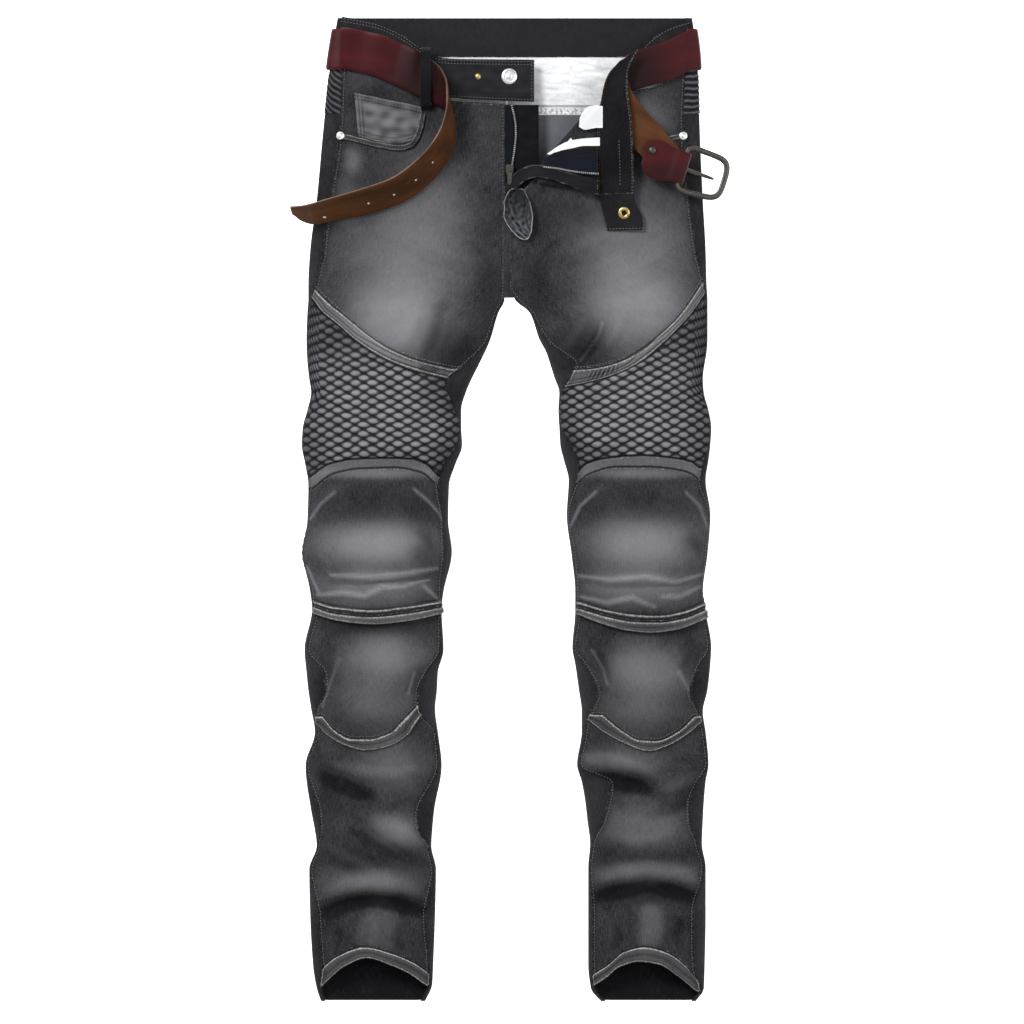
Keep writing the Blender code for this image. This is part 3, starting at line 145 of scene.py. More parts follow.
# %% Creases
# side, height, breadth, path of (x, down)
CREASES = (
    ("right", -4, 9, ((-72, 300), (-84, 340), (-98, 378))),
    ("right", 3, 9, ((-50, 322), (-62, 350), (-76, 374))),
    ("right", 2.4, 7, ((-96, 300), (-108, 335), (-122, 360))),
    ("right", 1.6, 6, ((-20, 268), (-60, 262), (-100, 244))),
    ("right", -1.8, 6, ((-18, 280), (-58, 277), (-104, 262), (-140, 240))),
    ("right", 1.4, 6, ((-24, 296), (-70, 296), (-120, 282), (-165, 262))),
    ("right", -1.4, 6, ((-36, 312), (-84, 314), (-140, 300), (-190, 282))),
    ("right", 1.3, 6, ((-16, 226), (-56, 222), (-96, 204))),
    ("right", -1.2, 5, ((-16, 238), (-64, 236), (-110, 220))),
    ("right", 1.2, 5, ((-205, 215), (-176, 232), (-140, 236))),
    ("right", -1.2, 5, ((-208, 232), (-180, 250), (-150, 256))),
    ("right", -5, 11, ((-214, 808), (-178, 826), (-142, 840))),
    ("right", 4, 9, ((-212, 796), (-170, 808), (-128, 812), (-92, 806))),
    ("right", 6, 12, ((-156, 852), (-124, 872), (-92, 894))),
    ("right", -3, 8, ((-186, 866), (-150, 884), (-112, 908))),
    ("right", 3, 8, ((-208, 884), (-174, 902), (-138, 918))),
    ("right", 7, 10, ((-208, 944), (-176, 932), (-150, 929), (-122, 932), (-92, 944))),
    ("right", -8, 9, ((-210, 962), (-176, 951), (-150, 947), (-122, 951), (-90, 962))),
    ("right", 6, 12, ((-151, 956), (-156, 984), (-158, 1004))),
    ("right", -2.4, 8, ((-190, 968), (-186, 990), (-192, 1012))),
    ("right", -2.4, 8, ((-116, 966), (-124, 988), (-118, 1010))),
    ("right", 2.2, 4, ((-220, 547), (-207, 526), (-191, 510), (-170, 502))),
    ("right", 2.4, 5, ((-112, 505), (-97, 516), (-81, 528), (-72, 556))),
    ("right", 2.6, 4, ((-193, 599), (-150, 601), (-117, 599), (-83, 593))),
    ("right", -2.4, 5, ((-205, 608), (-160, 610), (-120, 606), (-84, 604))),
    ("right", 2.2, 4, ((-207, 620), (-179, 618), (-158, 621), (-140, 613), (-126, 612))),
    ("right", 1.8, 4, ((-97, 611), (-81, 628))),
    ("right", 1.8, 4, ((-218, 590), (-205, 618))),
    ("right", -4, 10, ((-106, 552), (-92, 562), (-84, 576))),
    ("right", -1.6, 7, ((-204, 662), (-192, 690), (-200, 724))),
    ("right", -1.6, 7, ((-96, 668), (-112, 694), (-108, 722))),
    ("right", 1.2, 6, ((-176, 668), (-168, 700), (-172, 740))),
    ("left", -4, 8, ((97, 330), (86, 354), (68, 374))),
    ("left", 3, 8, ((76, 322), (66, 344), (50, 364))),
    ("left", 2.4, 7, ((118, 318), (110, 340), (92, 364))),
    ("left", 1.6, 6, ((6, 258), (46, 256), (88, 244), (120, 226))),
    ("left", -1.8, 6, ((4, 272), (48, 272), (96, 262), (136, 240))),
    ("left", 1.4, 6, ((12, 290), (58, 292), (112, 280), (156, 258))),
    ("left", -1.4, 6, ((26, 306), (74, 310), (130, 298), (180, 276))),
    ("left", 1.3, 6, ((60, 236), (104, 214), (140, 190))),
    ("left", -1.3, 5, ((120, 258), (152, 240), (190, 214))),
    ("left", 1.3, 5, ((128, 274), (160, 256), (194, 234))),
    ("left", 6, 9, ((64, 794), (102, 797), (130, 804), (156, 818))),
    ("left", -8, 9, ((66, 816), (104, 818), (130, 824), (160, 838))),
    ("left", 4, 9, ((196, 812), (166, 828), (136, 836))),
    ("left", -3, 8, ((196, 836), (168, 852), (132, 858))),
    ("left", 3, 9, ((96, 872), (130, 884), (176, 876))),
    ("left", 7, 10, ((86, 926), (114, 918), (142, 914), (172, 918), (202, 930))),
    ("left", -8, 9, ((84, 944), (114, 936), (142, 932), (172, 936), (204, 948))),
    ("left", 6, 12, ((145, 944), (148, 976), (142, 1004))),
    ("left", -2.4, 8, ((108, 958), (112, 984), (106, 1008))),
    ("left", -2.4, 8, ((178, 958), (174, 986), (182, 1010))),
    ("left", 2.2, 4, ((62, 548), (72, 526), (90, 510), (112, 502))),
    ("left", 2.4, 5, ((176, 505), (192, 518), (204, 534), (208, 556))),
    ("left", 2.4, 4, ((72, 600), (104, 604), (140, 602), (172, 606), (200, 598))),
    ("left", -2.4, 5, ((72, 610), (110, 613), (150, 612), (198, 608))),
    ("left", 2.2, 4, ((74, 622), (100, 628), (126, 624), (150, 632))),
    ("left", 2.0, 4, ((196, 612), (176, 622), (160, 622))),
    ("left", 1.6, 4, ((70, 588), (78, 612))),
    ("left", -3, 9, ((184, 556), (196, 570), (200, 584))),
    ("left", -3, 7, ((88, 676), (98, 700), (104, 718))),
    ("left", -3, 7, ((190, 680), (180, 700), (186, 716))),
    ("left", 2.4, 6, ((172, 700), (188, 726), (202, 748))),
)

# %% [markdown]
# The same rules as in the solids give the height of the front, the curled sides and the back that
# lies on the floor, but here they take whole arrays, so that a fine grid costs no more to write.

# %% Surfaces of the legs
def curve(points, x):
    """A smooth curve through (x, value) points that never overshoots them."""
    xs, ys = np.array(points, float).T
    step = np.diff(xs)
    slope = np.diff(ys) / step
    before, after = slope[:-1], slope[1:]
    total = np.where(before + after == 0.0, 1.0, before + after)
    tangent = np.concatenate([slope[:1], np.where(before * after > 0.0, 2 * before * after / total, 0.0),
                              slope[-1:]])
    x = np.clip(x, xs[0], xs[-1])
    k = np.clip(np.searchsorted(xs, x, side="right") - 1, 0, len(xs) - 2)
    t = (x - xs[k]) / step[k]
    return (ys[k] * (2 * t ** 3 - 3 * t ** 2 + 1) + tangent[k] * step[k] * (t ** 3 - 2 * t ** 2 + t)
            + ys[k + 1] * (3 * t ** 2 - 2 * t ** 3) + tangent[k + 1] * step[k] * (t ** 3 - t ** 2))


def ease(value, low, high):
    """0 before low, 1 after high, smooth between."""
    share = np.clip((value - low) / (high - low), 0.0, 1.0)
    return share * share * (3.0 - 2.0 * share)


def mix(a, b, share):
    return a + (b - a) * share


def measure(side, field, down):
    k = FIELDS.index(field) + 1
    return curve([(row[0], row[k]) for row in SECTIONS[side]], down)


def side_height(down):
    return mix(10.5, 7.0, ease(down, 60.0, 180.0))


def bed_height(down):
    return 5.4 * (1.0 - ease(down, 66.0, 104.0))


def arch(part):
    return np.sqrt(np.maximum(0.0, 1.0 - np.abs(2.0 * np.clip(part, 0, 1) - 1.0) ** 2.6))


def along_path(x, down, path):
    """Distance to a path, and how far along it the nearest place lies, from 0 to 1."""
    points = np.array(path, float)
    lengths = np.hypot(*np.diff(points, axis=0).T)
    starts = np.concatenate([[0.0], np.cumsum(lengths)])
    best = np.full(np.shape(x), 1e9)
    share = np.zeros(np.shape(x))
    for k, size in enumerate(lengths):
        run = (points[k + 1] - points[k]) / size
        t = (x - points[k][0]) * run[0] + (down - points[k][1]) * run[1]
        near = np.clip(t, 0.0, size)
        away = np.hypot(x - points[k][0] - run[0] * near, down - points[k][1] - run[1] * near)
        closer = away < best
        best = np.where(closer, away, best)
        share = np.where(closer, (starts[k] + near) / starts[-1], share)
    return best, share


def crease_height(side, x, down):
    total = np.zeros(np.shape(x))
    for of_side, height, breadth, path in CREASES:
        if of_side == side:
            away, share = along_path(x, down, path)
            ends = np.sin(np.pi * np.clip(share, 0.04, 0.96)) ** 0.5
            total += height * np.exp(-(away / breadth) ** 2) * ends
    return total


def ripple(x, y, seed):
    """Soft uneven noise between -1 and 1, made of turned waves."""
    rng = np.random.default_rng(seed)
    total = 0.0
    for _ in range(7):
        angle, phase, rate = rng.uniform(0, math.pi), rng.uniform(0, 6.28), rng.uniform(0.6, 1.7)
        bend = 0.7 * np.sin((x * math.sin(angle) - y * math.cos(angle)) * rate * 0.6 + phase)
        total = total + np.sin((x * math.cos(angle) + y * math.sin(angle)) * rate + phase + bend)
    return total / 7.0


def top_height(side, x, down):
    """Height of the upper cloth at a place in plan."""
    base = side_height(down)
    rise = measure(side, "crest", down) - base
    outer, inner = measure(side, "outer", down), measure(side, "inner", down)
    part = (x - outer) / (inner - outer)
    low, high = measure("right", "outer", down), measure("left", "outer", down)
    share = mix(arch((x - low) / (high - low)), arch(part), ease(down, *CROTCH))
    part = np.clip(part, 0.0, 1.0)
    room = np.minimum(1.0, 6.0 * part * (1.0 - part))
    crumple = 0.9 * ripple(x / 9.0, down / 7.0, 3) * ease(down, 180.0, 330.0)
    return base + rise * share + (crease_height(side, x, down) + crumple) * room


def place(x, down, z):
    x, down, z = np.broadcast_arrays(np.asarray(x, float), down, z)
    return np.stack([x - MIDDLE[0], LENGTH / 2 - down - MIDDLE[1], z], axis=-1)


def plan_x(points):
    return points[..., 0] + MIDDLE[0]


def plan_down(points):
    return LENGTH / 2 - MIDDLE[1] - points[..., 1]


def ring_point(side, down, turn):
    """0 to 1 crosses the top from the outer to the inner side, beyond it the ring curls under."""
    down, turn = np.broadcast_arrays(np.asarray(down, float), np.asarray(turn, float))
    outer, inner = measure(side, "outer", down), measure(side, "inner", down)
    x_top = mix(outer, inner, (1.0 - np.cos(np.pi * np.clip(turn, 0, 1))) / 2)
    lap = np.where(turn < 0, -turn, turn - 1)
    edge, far = np.where(turn < 0, outer, inner), np.where(turn < 0, inner, outer)
    toward = np.sign(far - edge)
    low = bed_height(down)
    radius = side_height(down) - low
    angle = np.clip(lap / CURL, 0, 1) * np.pi / 2
    share = np.clip((lap - CURL) / (1 - CURL), 0, 1)
    x_low = mix(edge + toward * radius, (outer + inner) / 2, share)
    on_top, curled = (turn >= 0) & (turn <= 1), lap < CURL
    x = np.where(on_top, x_top, np.where(curled, edge + toward * radius * (1 - np.cos(angle)), x_low))
    z = np.where(on_top, top_height(side, x_top, down),
                 np.where(curled, low + radius * (1 - np.sin(angle)), low))
    return place(x, down, z)


def seam_turns(side, down, spare):
    width = np.abs(measure(side, "outer", down) - measure(side, "inner", down))
    out = np.arccos(1 - 2 * (measure(side, "outer_seam", down) + spare) / width) / np.pi
    back = 1 - np.arccos(1 - 2 * (measure(side, "inner_seam", down) + spare) / width) / np.pi
    return out, back


def front_point(side, down, share):
    out, back = seam_turns(side, down, 0.2)
    return ring_point(side, down, mix(out, back, share))


def back_point(side, down, share):
    """0 at the side seam, round below the leg, to 1 at the inseam."""
    down, share = np.broadcast_arrays(np.asarray(down, float), np.asarray(share, float))
    out, back = seam_turns(side, down, -0.2)
    turn = np.where(share < SIDE_SHARE, out * (1 - share / SIDE_SHARE),
                    np.where(share < 0.5, -(share - SIDE_SHARE) / (0.5 - SIDE_SHARE),
                             np.where(share < 1 - SIDE_SHARE,
                                      1 + (1 - SIDE_SHARE - share) / (0.5 - SIDE_SHARE),
                                      mix(1, back, (share - 1 + SIDE_SHARE) / SIDE_SHARE))))
    points = ring_point(side, down, turn)
    outer, inner = measure(side, "outer", down), measure(side, "inner", down)
    x = mix((outer + inner) / 2, inner, np.clip((share - 0.5) * 2, 0, 1))
    joined = ((1 - ease(down, *CROTCH)) * (share > 0.5))[..., None]
    return mix(points, place(x, down, bed_height(down)), joined)


def deck_point(x, down):
    """A point of the upper cloth of the hips."""
    x, down = np.broadcast_arrays(np.asarray(x, float), np.asarray(down, float))
    z = np.where(x < CENTRE_X, top_height("right", x, down), top_height("left", x, down))
    return place(x, down, z)


def deck_z(x, down):
    return deck_point(x, down)[..., 2]


def seam_line(side, seam, share):
    """How far down a cross seam runs at each share of a front panel's width."""
    line = sorted(CROSS_SEAMS[side][seam])
    down = np.full(np.shape(share), float(line[len(line) // 2][1]))
    for _ in range(30):
        down = mix(down, curve(line, plan_x(front_point(side, down, share))), 0.6)
    return down


print("leg lengths:", LENGTH, "mm; creases:", len(CREASES))

# %% [markdown]
# Every cloth piece is a grid of points with an outer and an inner face and a rim between them. It
# carries the cut of its cloth as a UV map in metres, and masks for its fading, its worn edges and
# its painted shade, which the materials read.

# %% Making a piece of cloth
UP = np.array((0.0, 0.0, 1.0))


def normals_of(points, like):
    """Outward directions of a grid of points, turned to the side of like."""
    down_step = np.gradient(points, axis=0)
    across = np.gradient(points, axis=1)
    normal = np.cross(down_step, across)
    normal /= np.maximum(np.linalg.norm(normal, axis=-1, keepdims=True), 1e-9)
    if np.ndim(like) == 1:
        return -normal if np.sum(normal * like) < 0.0 else normal
    flip = np.sum(normal * like, axis=-1) < 0.0
    return np.where(flip[..., None], -normal, normal)


def grid_faces(index):
    """Quads between the neighbours of a grid of indices."""
    return np.stack([index[:-1, :-1], index[:-1, 1:], index[1:, 1:], index[1:, :-1]], -1).reshape(-1, 4)


def sheet_faces(rows, cols):
    """Quads of a grid and of its copy below, with the rim between them."""
    index = np.arange(rows * cols).reshape(rows, cols)
    quads = grid_faces(index)
    under = quads[:, ::-1] + rows * cols
    loop = np.concatenate([index[0], index[1:, -1], index[-1, -2::-1], index[-2::-1, 0]])
    rim = np.stack([loop[1:], loop[:-1], loop[:-1] + rows * cols, loop[1:] + rows * cols], -1)
    return quads, under, rim


def run_along(points, axis):
    """Distances along the lines of a grid from their first points."""
    run = np.cumsum(np.linalg.norm(np.diff(points, axis=axis), axis=-1), axis)
    return np.concatenate([np.zeros_like(np.take(run, [0], axis)), run], axis)


def new_object(name, data):
    """An object in the scene for a mesh, a lamp or a camera."""
    thing = bpy.data.objects.new(name, data)
    bpy.context.scene.collection.objects.link(thing)
    return thing


def shade(data):
    """Smooth faces that keep their sharp corners."""
    data.shade_smooth()
    data.set_sharp_from_angle(angle=math.radians(50.0))


def attach(thing, body, slot, *nodes):
    """Tie a finished piece to its body and hide the solids that it stands for; its slot is not used."""
    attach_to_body(thing, body)
    if nodes:
        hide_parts(*nodes)


def mesh_object(name, points, faces, uv, masks):
    """An object at the origin from points in millimetres."""
    data = bpy.data.meshes.new(name)
    data.from_pydata((points * MM).tolist(), [], faces.tolist())
    data.validate()
    loops = np.empty(len(data.loops), np.int32)
    data.loops.foreach_get("vertex_index", loops)
    layer = data.uv_layers.new(name="cut")
    layer.data.foreach_set("uv", (uv[loops] * MM).astype(np.float32).ravel())
    for mask, values in masks.items():
        made = data.attributes.new(mask, "FLOAT", "POINT")
        made.data.foreach_set("value", np.asarray(values, np.float32).ravel())
    shade(data)
    return new_object(name, data)


def outward(thing):
    """Turn a closed mesh right side out if its volume is negative."""
    shape = bmesh.new()
    shape.from_mesh(thing.data)
    if shape.calc_volume(signed=True) < 0.0:
        bmesh.ops.reverse_faces(shape, faces=shape.faces)
        shape.to_mesh(thing.data)
    shape.free()


def sew(name, outer, inner, materials, slot, nodes, base, masks=None, under_masks=None):
    """A finished cloth piece between two faces: its cut is measured on the smooth grid base."""
    rows, cols = outer.shape[:2]
    quads, under, rims = sheet_faces(rows, cols)
    points = np.concatenate([outer.reshape(-1, 3), inner.reshape(-1, 3)])
    run_u, run_v = run_along(base, 1), run_along(base, 0)
    middle = run_u - run_u[:, cols // 2:cols // 2 + 1]
    uv = np.stack([middle, plan_down(base)], -1).reshape(-1, 2)
    kept = {}
    # Masks: fading, worn edges, and painted shade where shade falls.
    for mask in ("fade", "edge", "painted_shade"):
        values = np.broadcast_to((masks or {}).get(mask, 0.0), (rows, cols)).ravel()
        below = np.broadcast_to((under_masks or {}).get(mask, 0.0), (rows, cols)).ravel()
        kept[mask] = np.clip(np.concatenate([values, below]), 0.0, 1.0)
    thing = mesh_object(name, points, np.vstack([quads, under, rims]), np.concatenate([uv, uv]), kept)
    for material in materials:
        thing.data.materials.append(material)
    if len(materials) > 1:
        which = np.concatenate([np.zeros(len(quads)), np.ones(len(under)),
                                np.full(len(rims), len(materials) - 1)]).astype(np.int32)
        thing.data.polygons.foreach_set("material_index", which)
    outward(thing)
    attach(thing, "root", slot, *nodes)
    return thing


# %% [markdown]
# Colour comes from node groups that several materials share. The weave group draws the twill's
# diagonal and its uneven threads from the UV map of the cut. The wear group turns the masks of a
# piece into a share of fading with ragged borders, because dye never wears off evenly.

# %% Shader groups and materials
def add_node(tree, kind, values=None, **settings):
    """A node with its settings and the values or links of its inputs."""
    made = tree.nodes.new(kind)
    for key, value in settings.items():
        setattr(made, key, value)
    for key, value in (values or {}).items():
        if isinstance(value, bpy.types.NodeSocket):
            tree.links.new(value, made.inputs[key])
        else:
            made.inputs[key].default_value = value
    return made


def math_node(tree, operation, a, b=0.0, clamp=False):
    return add_node(tree, "ShaderNodeMath", {0: a, 1: b}, operation=operation, use_clamp=clamp).outputs[0]


def new_group(name, inputs, outputs):
    """An empty shader group with float inputs (name: default) and outputs."""
    group = bpy.data.node_groups.new(name, "ShaderNodeTree")
    for label, value in inputs.items():
        kind = "NodeSocketVector" if value is None else "NodeSocketFloat"
        socket = group.interface.new_socket(label, in_out="INPUT", socket_type=kind)
        if value is not None:
            socket.default_value = value
    for label in outputs:
        group.interface.new_socket(label, in_out="OUTPUT", socket_type="NodeSocketFloat")
    return group, group.nodes.new("NodeGroupInput").outputs, group.nodes.new("NodeGroupOutput").inputs


WEAVE, ask, give = new_group("twill_weave", {"Cut": None, "Threads": 1400.0}, ("Thread", "Slub", "Height"))
turned = add_node(WEAVE, "ShaderNodeMapping", {"Vector": ask["Cut"], "Rotation": (0, 0, math.radians(62))})
lines = add_node(WEAVE, "ShaderNodeTexWave", {"Vector": turned.outputs[0], "Scale": ask["Threads"],
                                              "Distortion": 1.2, "Detail": 1.0, "Detail Scale": 2.0},
                 wave_type="BANDS")
long_way = add_node(WEAVE, "ShaderNodeMapping", {"Vector": ask["Cut"], "Scale": (1500.0, 120.0, 1.0)})
slub = add_node(WEAVE, "ShaderNodeTexNoise", {"Vector": long_way.outputs[0], "Scale": 1.0, "Detail": 3.0})
cross_way = add_node(WEAVE, "ShaderNodeMapping", {"Vector": ask["Cut"], "Scale": (170.0, 1300.0, 1.0)})
cross = add_node(WEAVE, "ShaderNodeTexNoise", {"Vector": cross_way.outputs[0], "Scale": 1.0, "Detail": 2.0})
both = math_node(WEAVE, "ADD", math_node(WEAVE, "MULTIPLY", slub.outputs["Fac"], 0.65),
                 math_node(WEAVE, "MULTIPLY", cross.outputs["Fac"], 0.35))
WEAVE.links.new(lines.outputs["Fac"], give["Thread"])
WEAVE.links.new(both, give["Slub"])
WEAVE.links.new(math_node(WEAVE, "ADD", lines.outputs["Fac"], math_node(WEAVE, "MULTIPLY", both, 1.2)),
                give["Height"])

WEAR, ask, give = new_group("worn_cloth", {"Cut": None, "Fade": 0.0, "Edge": 0.0, "Slub": 0.5},
                            ("Faded", "Worn"))
broad = add_node(WEAR, "ShaderNodeTexNoise", {"Vector": ask["Cut"], "Scale": 26.0, "Detail": 4.0,
                                              "Roughness": 0.6})
small = add_node(WEAR, "ShaderNodeTexNoise", {"Vector": ask["Cut"], "Scale": 260.0, "Detail": 3.0,
                                              "Roughness": 0.7})
uneven = math_node(WEAR, "ADD", ask["Fade"], math_node(WEAR, "MULTIPLY", math_node(
    WEAR, "SUBTRACT", broad.outputs["Fac"], 0.5), 0.26))
grained = math_node(WEAR, "ADD", uneven, math_node(WEAR, "MULTIPLY", math_node(
    WEAR, "SUBTRACT", ask["Slub"], 0.5), 0.6), clamp=True)
ragged = math_node(WEAR, "ADD", ask["Edge"], math_node(WEAR, "MULTIPLY", math_node(
    WEAR, "SUBTRACT", small.outputs["Fac"], 0.5), 1.3))
sharp_edge = add_node(WEAR, "ShaderNodeMapRange", {"Value": ragged, "From Min": 0.35, "From Max": 0.8})
WEAR.links.new(grained, give["Faded"])
WEAR.links.new(math_node(WEAR, "MULTIPLY", sharp_edge.outputs[0],
                         math_node(WEAR, "GREATER_THAN", ask["Edge"], 0.02)), give["Worn"])


def colour(hex_text):
    """A linear colour from a screen colour."""
    parts = [int(hex_text[k:k + 2], 16) / 255 for k in (0, 2, 4)]
    return (*[p / 12.92 if p <= 0.04045 else ((p + 0.055) / 1.055) ** 2.4 for p in parts], 1.0)


def new_material(name):
    made = bpy.data.materials.new(name)
    made.use_nodes = True
    return made, made.node_tree, made.node_tree.nodes["Principled BSDF"]


def mix_colour(tree, share, a, b):
    made = add_node(tree, "ShaderNodeMix", {"Factor": share}, data_type="RGBA")
    for socket, value in ((made.inputs[6], a), (made.inputs[7], b)):
        if isinstance(value, bpy.types.NodeSocket):
            tree.links.new(value, socket)
        else:
            socket.default_value = value
    return made.outputs[2]


def cloth_material(name, dark, faded, worn, threads=1400.0, depth=0.35, sheen=0.03, rough=0.95):
    """Woven cloth: dark where it is new, faded by its mask, worn at its edges, and darkened by painted shade
    where its shade mask says.
    """
    made, tree, shader = new_material(name)
    cut = add_node(tree, "ShaderNodeUVMap", uv_map="cut").outputs[0]
    fade, edge, painted_shade = (add_node(tree, "ShaderNodeAttribute", attribute_name=label).outputs["Fac"]
                          for label in ("fade", "edge", "painted_shade"))
    weave = add_node(tree, "ShaderNodeGroup", node_tree=WEAVE)
    tree.links.new(cut, weave.inputs["Cut"])
    weave.inputs["Threads"].default_value = threads
    wear = add_node(tree, "ShaderNodeGroup", node_tree=WEAR)
    for label, socket in (("Cut", cut), ("Fade", fade), ("Edge", edge), ("Slub", weave.outputs["Slub"])):
        tree.links.new(socket, wear.inputs[label])
    base = mix_colour(tree, wear.outputs["Faded"], colour(dark), colour(faded))
    edged = mix_colour(tree, wear.outputs["Worn"], base, colour(worn))
    # Painted shade: the shade mask pulls the colour towards near-black where shade falls.
    dim = math_node(tree, "MULTIPLY", painted_shade, 0.75, clamp=True)
    shaded = mix_colour(tree, dim, edged, (0.004, 0.004, 0.005, 1.0))
    tree.links.new(shaded, shader.inputs["Base Color"])
    bump = add_node(tree, "ShaderNodeBump", {"Strength": depth, "Distance": 0.0005,
                                             "Height": weave.outputs["Height"]})
    tree.links.new(bump.outputs[0], shader.inputs["Normal"])
    shader.inputs["Roughness"].default_value = rough
    shader.inputs["Specular IOR Level"].default_value = 0.06
    shader.inputs["Sheen Weight"].default_value = sheen
    shader.inputs["Sheen Roughness"].default_value = 0.6
    return made


DENIM_OUT = cloth_material("charcoal_denim", "121214", "85858a", "a4a4a2")
DENIM_BAND = cloth_material("seam_denim", "1a1a1c", "7c7c7e", "b4b4b0")
DENIM_IN = cloth_material("denim_reverse", "101115", "66686e", "9a9a9a")
DENIM_PALE_IN = cloth_material("denim_pale_reverse", "141417", "77797f", "b8b8b8")
DENIM_BLACK = cloth_material("waistband_denim", "0e0e10", "3c3c40", "8a8a88")
YOKE_CLOTH = cloth_material("yoke_lining", "a8b0ba", "ffffff", "ffffff", threads=2200.0, depth=0.5)
POCKET_CLOTH = cloth_material("pocket_cotton", "cfd0d2", "f4f4f4", "ffffff", threads=2600.0)
TAPE_CLOTH = cloth_material("zip_tape", "0a0c12", "1c202c", "2c3142", threads=1800.0)
SHIELD_CLOTH = cloth_material("fly_shield_twill", "0b0b0d", "26262a", "44444a")


def leather_material(name, dark, light, painted_shade_tone, rough, grain_depth):
    """Grained leather: patchy, pale at its worn edges, and darkened by painted shade where its shade mask
    says.
    """
    made, tree, shader = new_material(name)
    cut = add_node(tree, "ShaderNodeUVMap", uv_map="cut").outputs[0]
    edge = add_node(tree, "ShaderNodeAttribute", attribute_name="edge").outputs["Fac"]
    cells = add_node(tree, "ShaderNodeTexVoronoi", {"Vector": cut, "Scale": 900.0},
                     feature="DISTANCE_TO_EDGE")
    patches = add_node(tree, "ShaderNodeTexNoise", {"Vector": cut, "Scale": 30.0, "Detail": 5.0})
    spread = add_node(tree, "ShaderNodeMapRange", {"Value": patches.outputs["Fac"], "From Min": 0.35,
                                                   "From Max": 0.7})
    share = math_node(tree, "ADD", math_node(tree, "MULTIPLY", spread.outputs[0], 0.6), edge, clamp=True)
    # Painted shade: the shade mask pulls the leather towards its painted shade tone.
    painted_shade = add_node(tree, "ShaderNodeAttribute", attribute_name="painted_shade").outputs["Fac"]
    dyed = mix_colour(tree, share, colour(dark), colour(light))
    tree.links.new(mix_colour(tree, painted_shade, dyed, colour(painted_shade_tone)), shader.inputs["Base Color"])
    height = math_node(tree, "ADD", math_node(tree, "MINIMUM", cells.outputs["Distance"], 0.12),
                       math_node(tree, "MULTIPLY", patches.outputs["Fac"], 0.1))
    bump = add_node(tree, "ShaderNodeBump", {"Strength": grain_depth, "Distance": 0.001, "Height": height})
    tree.links.new(bump.outputs[0], shader.inputs["Normal"])
    shader.inputs["Roughness"].default_value = rough
    shader.inputs["Specular IOR Level"].default_value = 0.14
    return made


# The third colour of each leather is its painted shade tone.
LEATHER_OUT = leather_material("oxblood_leather", "30060a", "4c1014", "120204", 0.5, 0.3)
LEATHER_IN = leather_material("tan_leather_back", "3a2212", "6a4022", "241208", 0.8, 0.4)
LEATHER_EDGE = leather_material("raw_leather_edge", "2e1a12", "8c7868", "1c0e08", 0.8, 0.4)


def metal_material(name, tone, worn_tone, rough, metallic=1.0):
    """Metal with fine marks, which are a little brighter and rougher."""
    made, tree, shader = new_material(name)
    spot = add_node(tree, "ShaderNodeTexCoord").outputs["Object"]
    marks = add_node(tree, "ShaderNodeTexNoise", {"Vector": spot, "Scale": 420.0, "Detail": 5.0})
    spread = add_node(tree, "ShaderNodeMapRange", {"Value": marks.outputs["Fac"], "From Min": 0.42,
                                                   "From Max": 0.72})
    tree.links.new(mix_colour(tree, spread.outputs[0], colour(tone), colour(worn_tone)),
                   shader.inputs["Base Color"])
    rougher = add_node(tree, "ShaderNodeMapRange", {"Value": marks.outputs["Fac"], "To Min": rough - 0.08,
                                                    "To Max": rough + 0.14})
    tree.links.new(rougher.outputs[0], shader.inputs["Roughness"])
    bump = add_node(tree, "ShaderNodeBump", {"Strength": 0.12, "Distance": 0.0004,
                                             "Height": marks.outputs["Fac"]})
    tree.links.new(bump.outputs[0], shader.inputs["Normal"])
    shader.inputs["Metallic"].default_value = metallic
    return made


GUNMETAL = metal_material("gunmetal", "484744", "575652", 0.38)
WHITE_METAL = metal_material("white_metal", "d8d8da", "f0f0f0", 0.3, 0.85)
BRASS = metal_material("antique_brass", "a58a4e", "d8c48a", 0.32)
THREAD = cloth_material("stitch_thread", "6c6c6a", "8e8e8c", "a8a8a6", threads=3000.0, depth=0.2)
BROWN_THREAD = cloth_material("brown_thread", "5a3a20", "8a6238", "8a6238", threads=3000.0, depth=0.2)
TEETH = metal_material("zip_teeth", "a8a8a2", "dcdcd6", 0.45, 0.3)
print("materials made:", len(bpy.data.materials))

# %% [markdown]
# Fading follows wear: thighs, knees and shins go pale where they stick out, and creases leave
# pale lines. Soft ellipses say where, as x, distance down, half width, half length and strength.

# %% Where the dye has faded
FADES = {
    "right": ((-124, 326, 46, 40, 0.8), (-112, 262, 62, 60, 0.45), (-95, 190, 40, 50, 0.3),
              (-172, 157, 9, 14, 0.35), (-178, 200, 14, 26, 0.2), (-146, 491, 60, 6, 0.45),
              (-146, 566, 58, 23, 0.8), (-150, 612, 60, 20, 0.42), (-138, 686, 44, 25, 0.58),
              (-150, 735, 40, 26, 0.3), (-128, 800, 34, 26, 0.3), (-121, 873, 26, 18, 0.4),
              (-150, 925, 50, 12, 0.3), (-140, 975, 14, 30, 0.2)),
    "left": ((132, 314, 50, 42, 0.72), (126, 245, 54, 62, 0.45), (120, 112, 40, 24, 0.45),
             (138, 491, 58, 6, 0.42), (139, 566, 56, 27, 0.74), (134, 612, 60, 20, 0.42),
             (141, 700, 42, 28, 0.52), (140, 744, 38, 22, 0.28), (140, 868, 44, 24, 0.32),
             (120, 798, 40, 16, 0.25), (144, 918, 50, 12, 0.28), (146, 975, 16, 28, 0.16)),
}
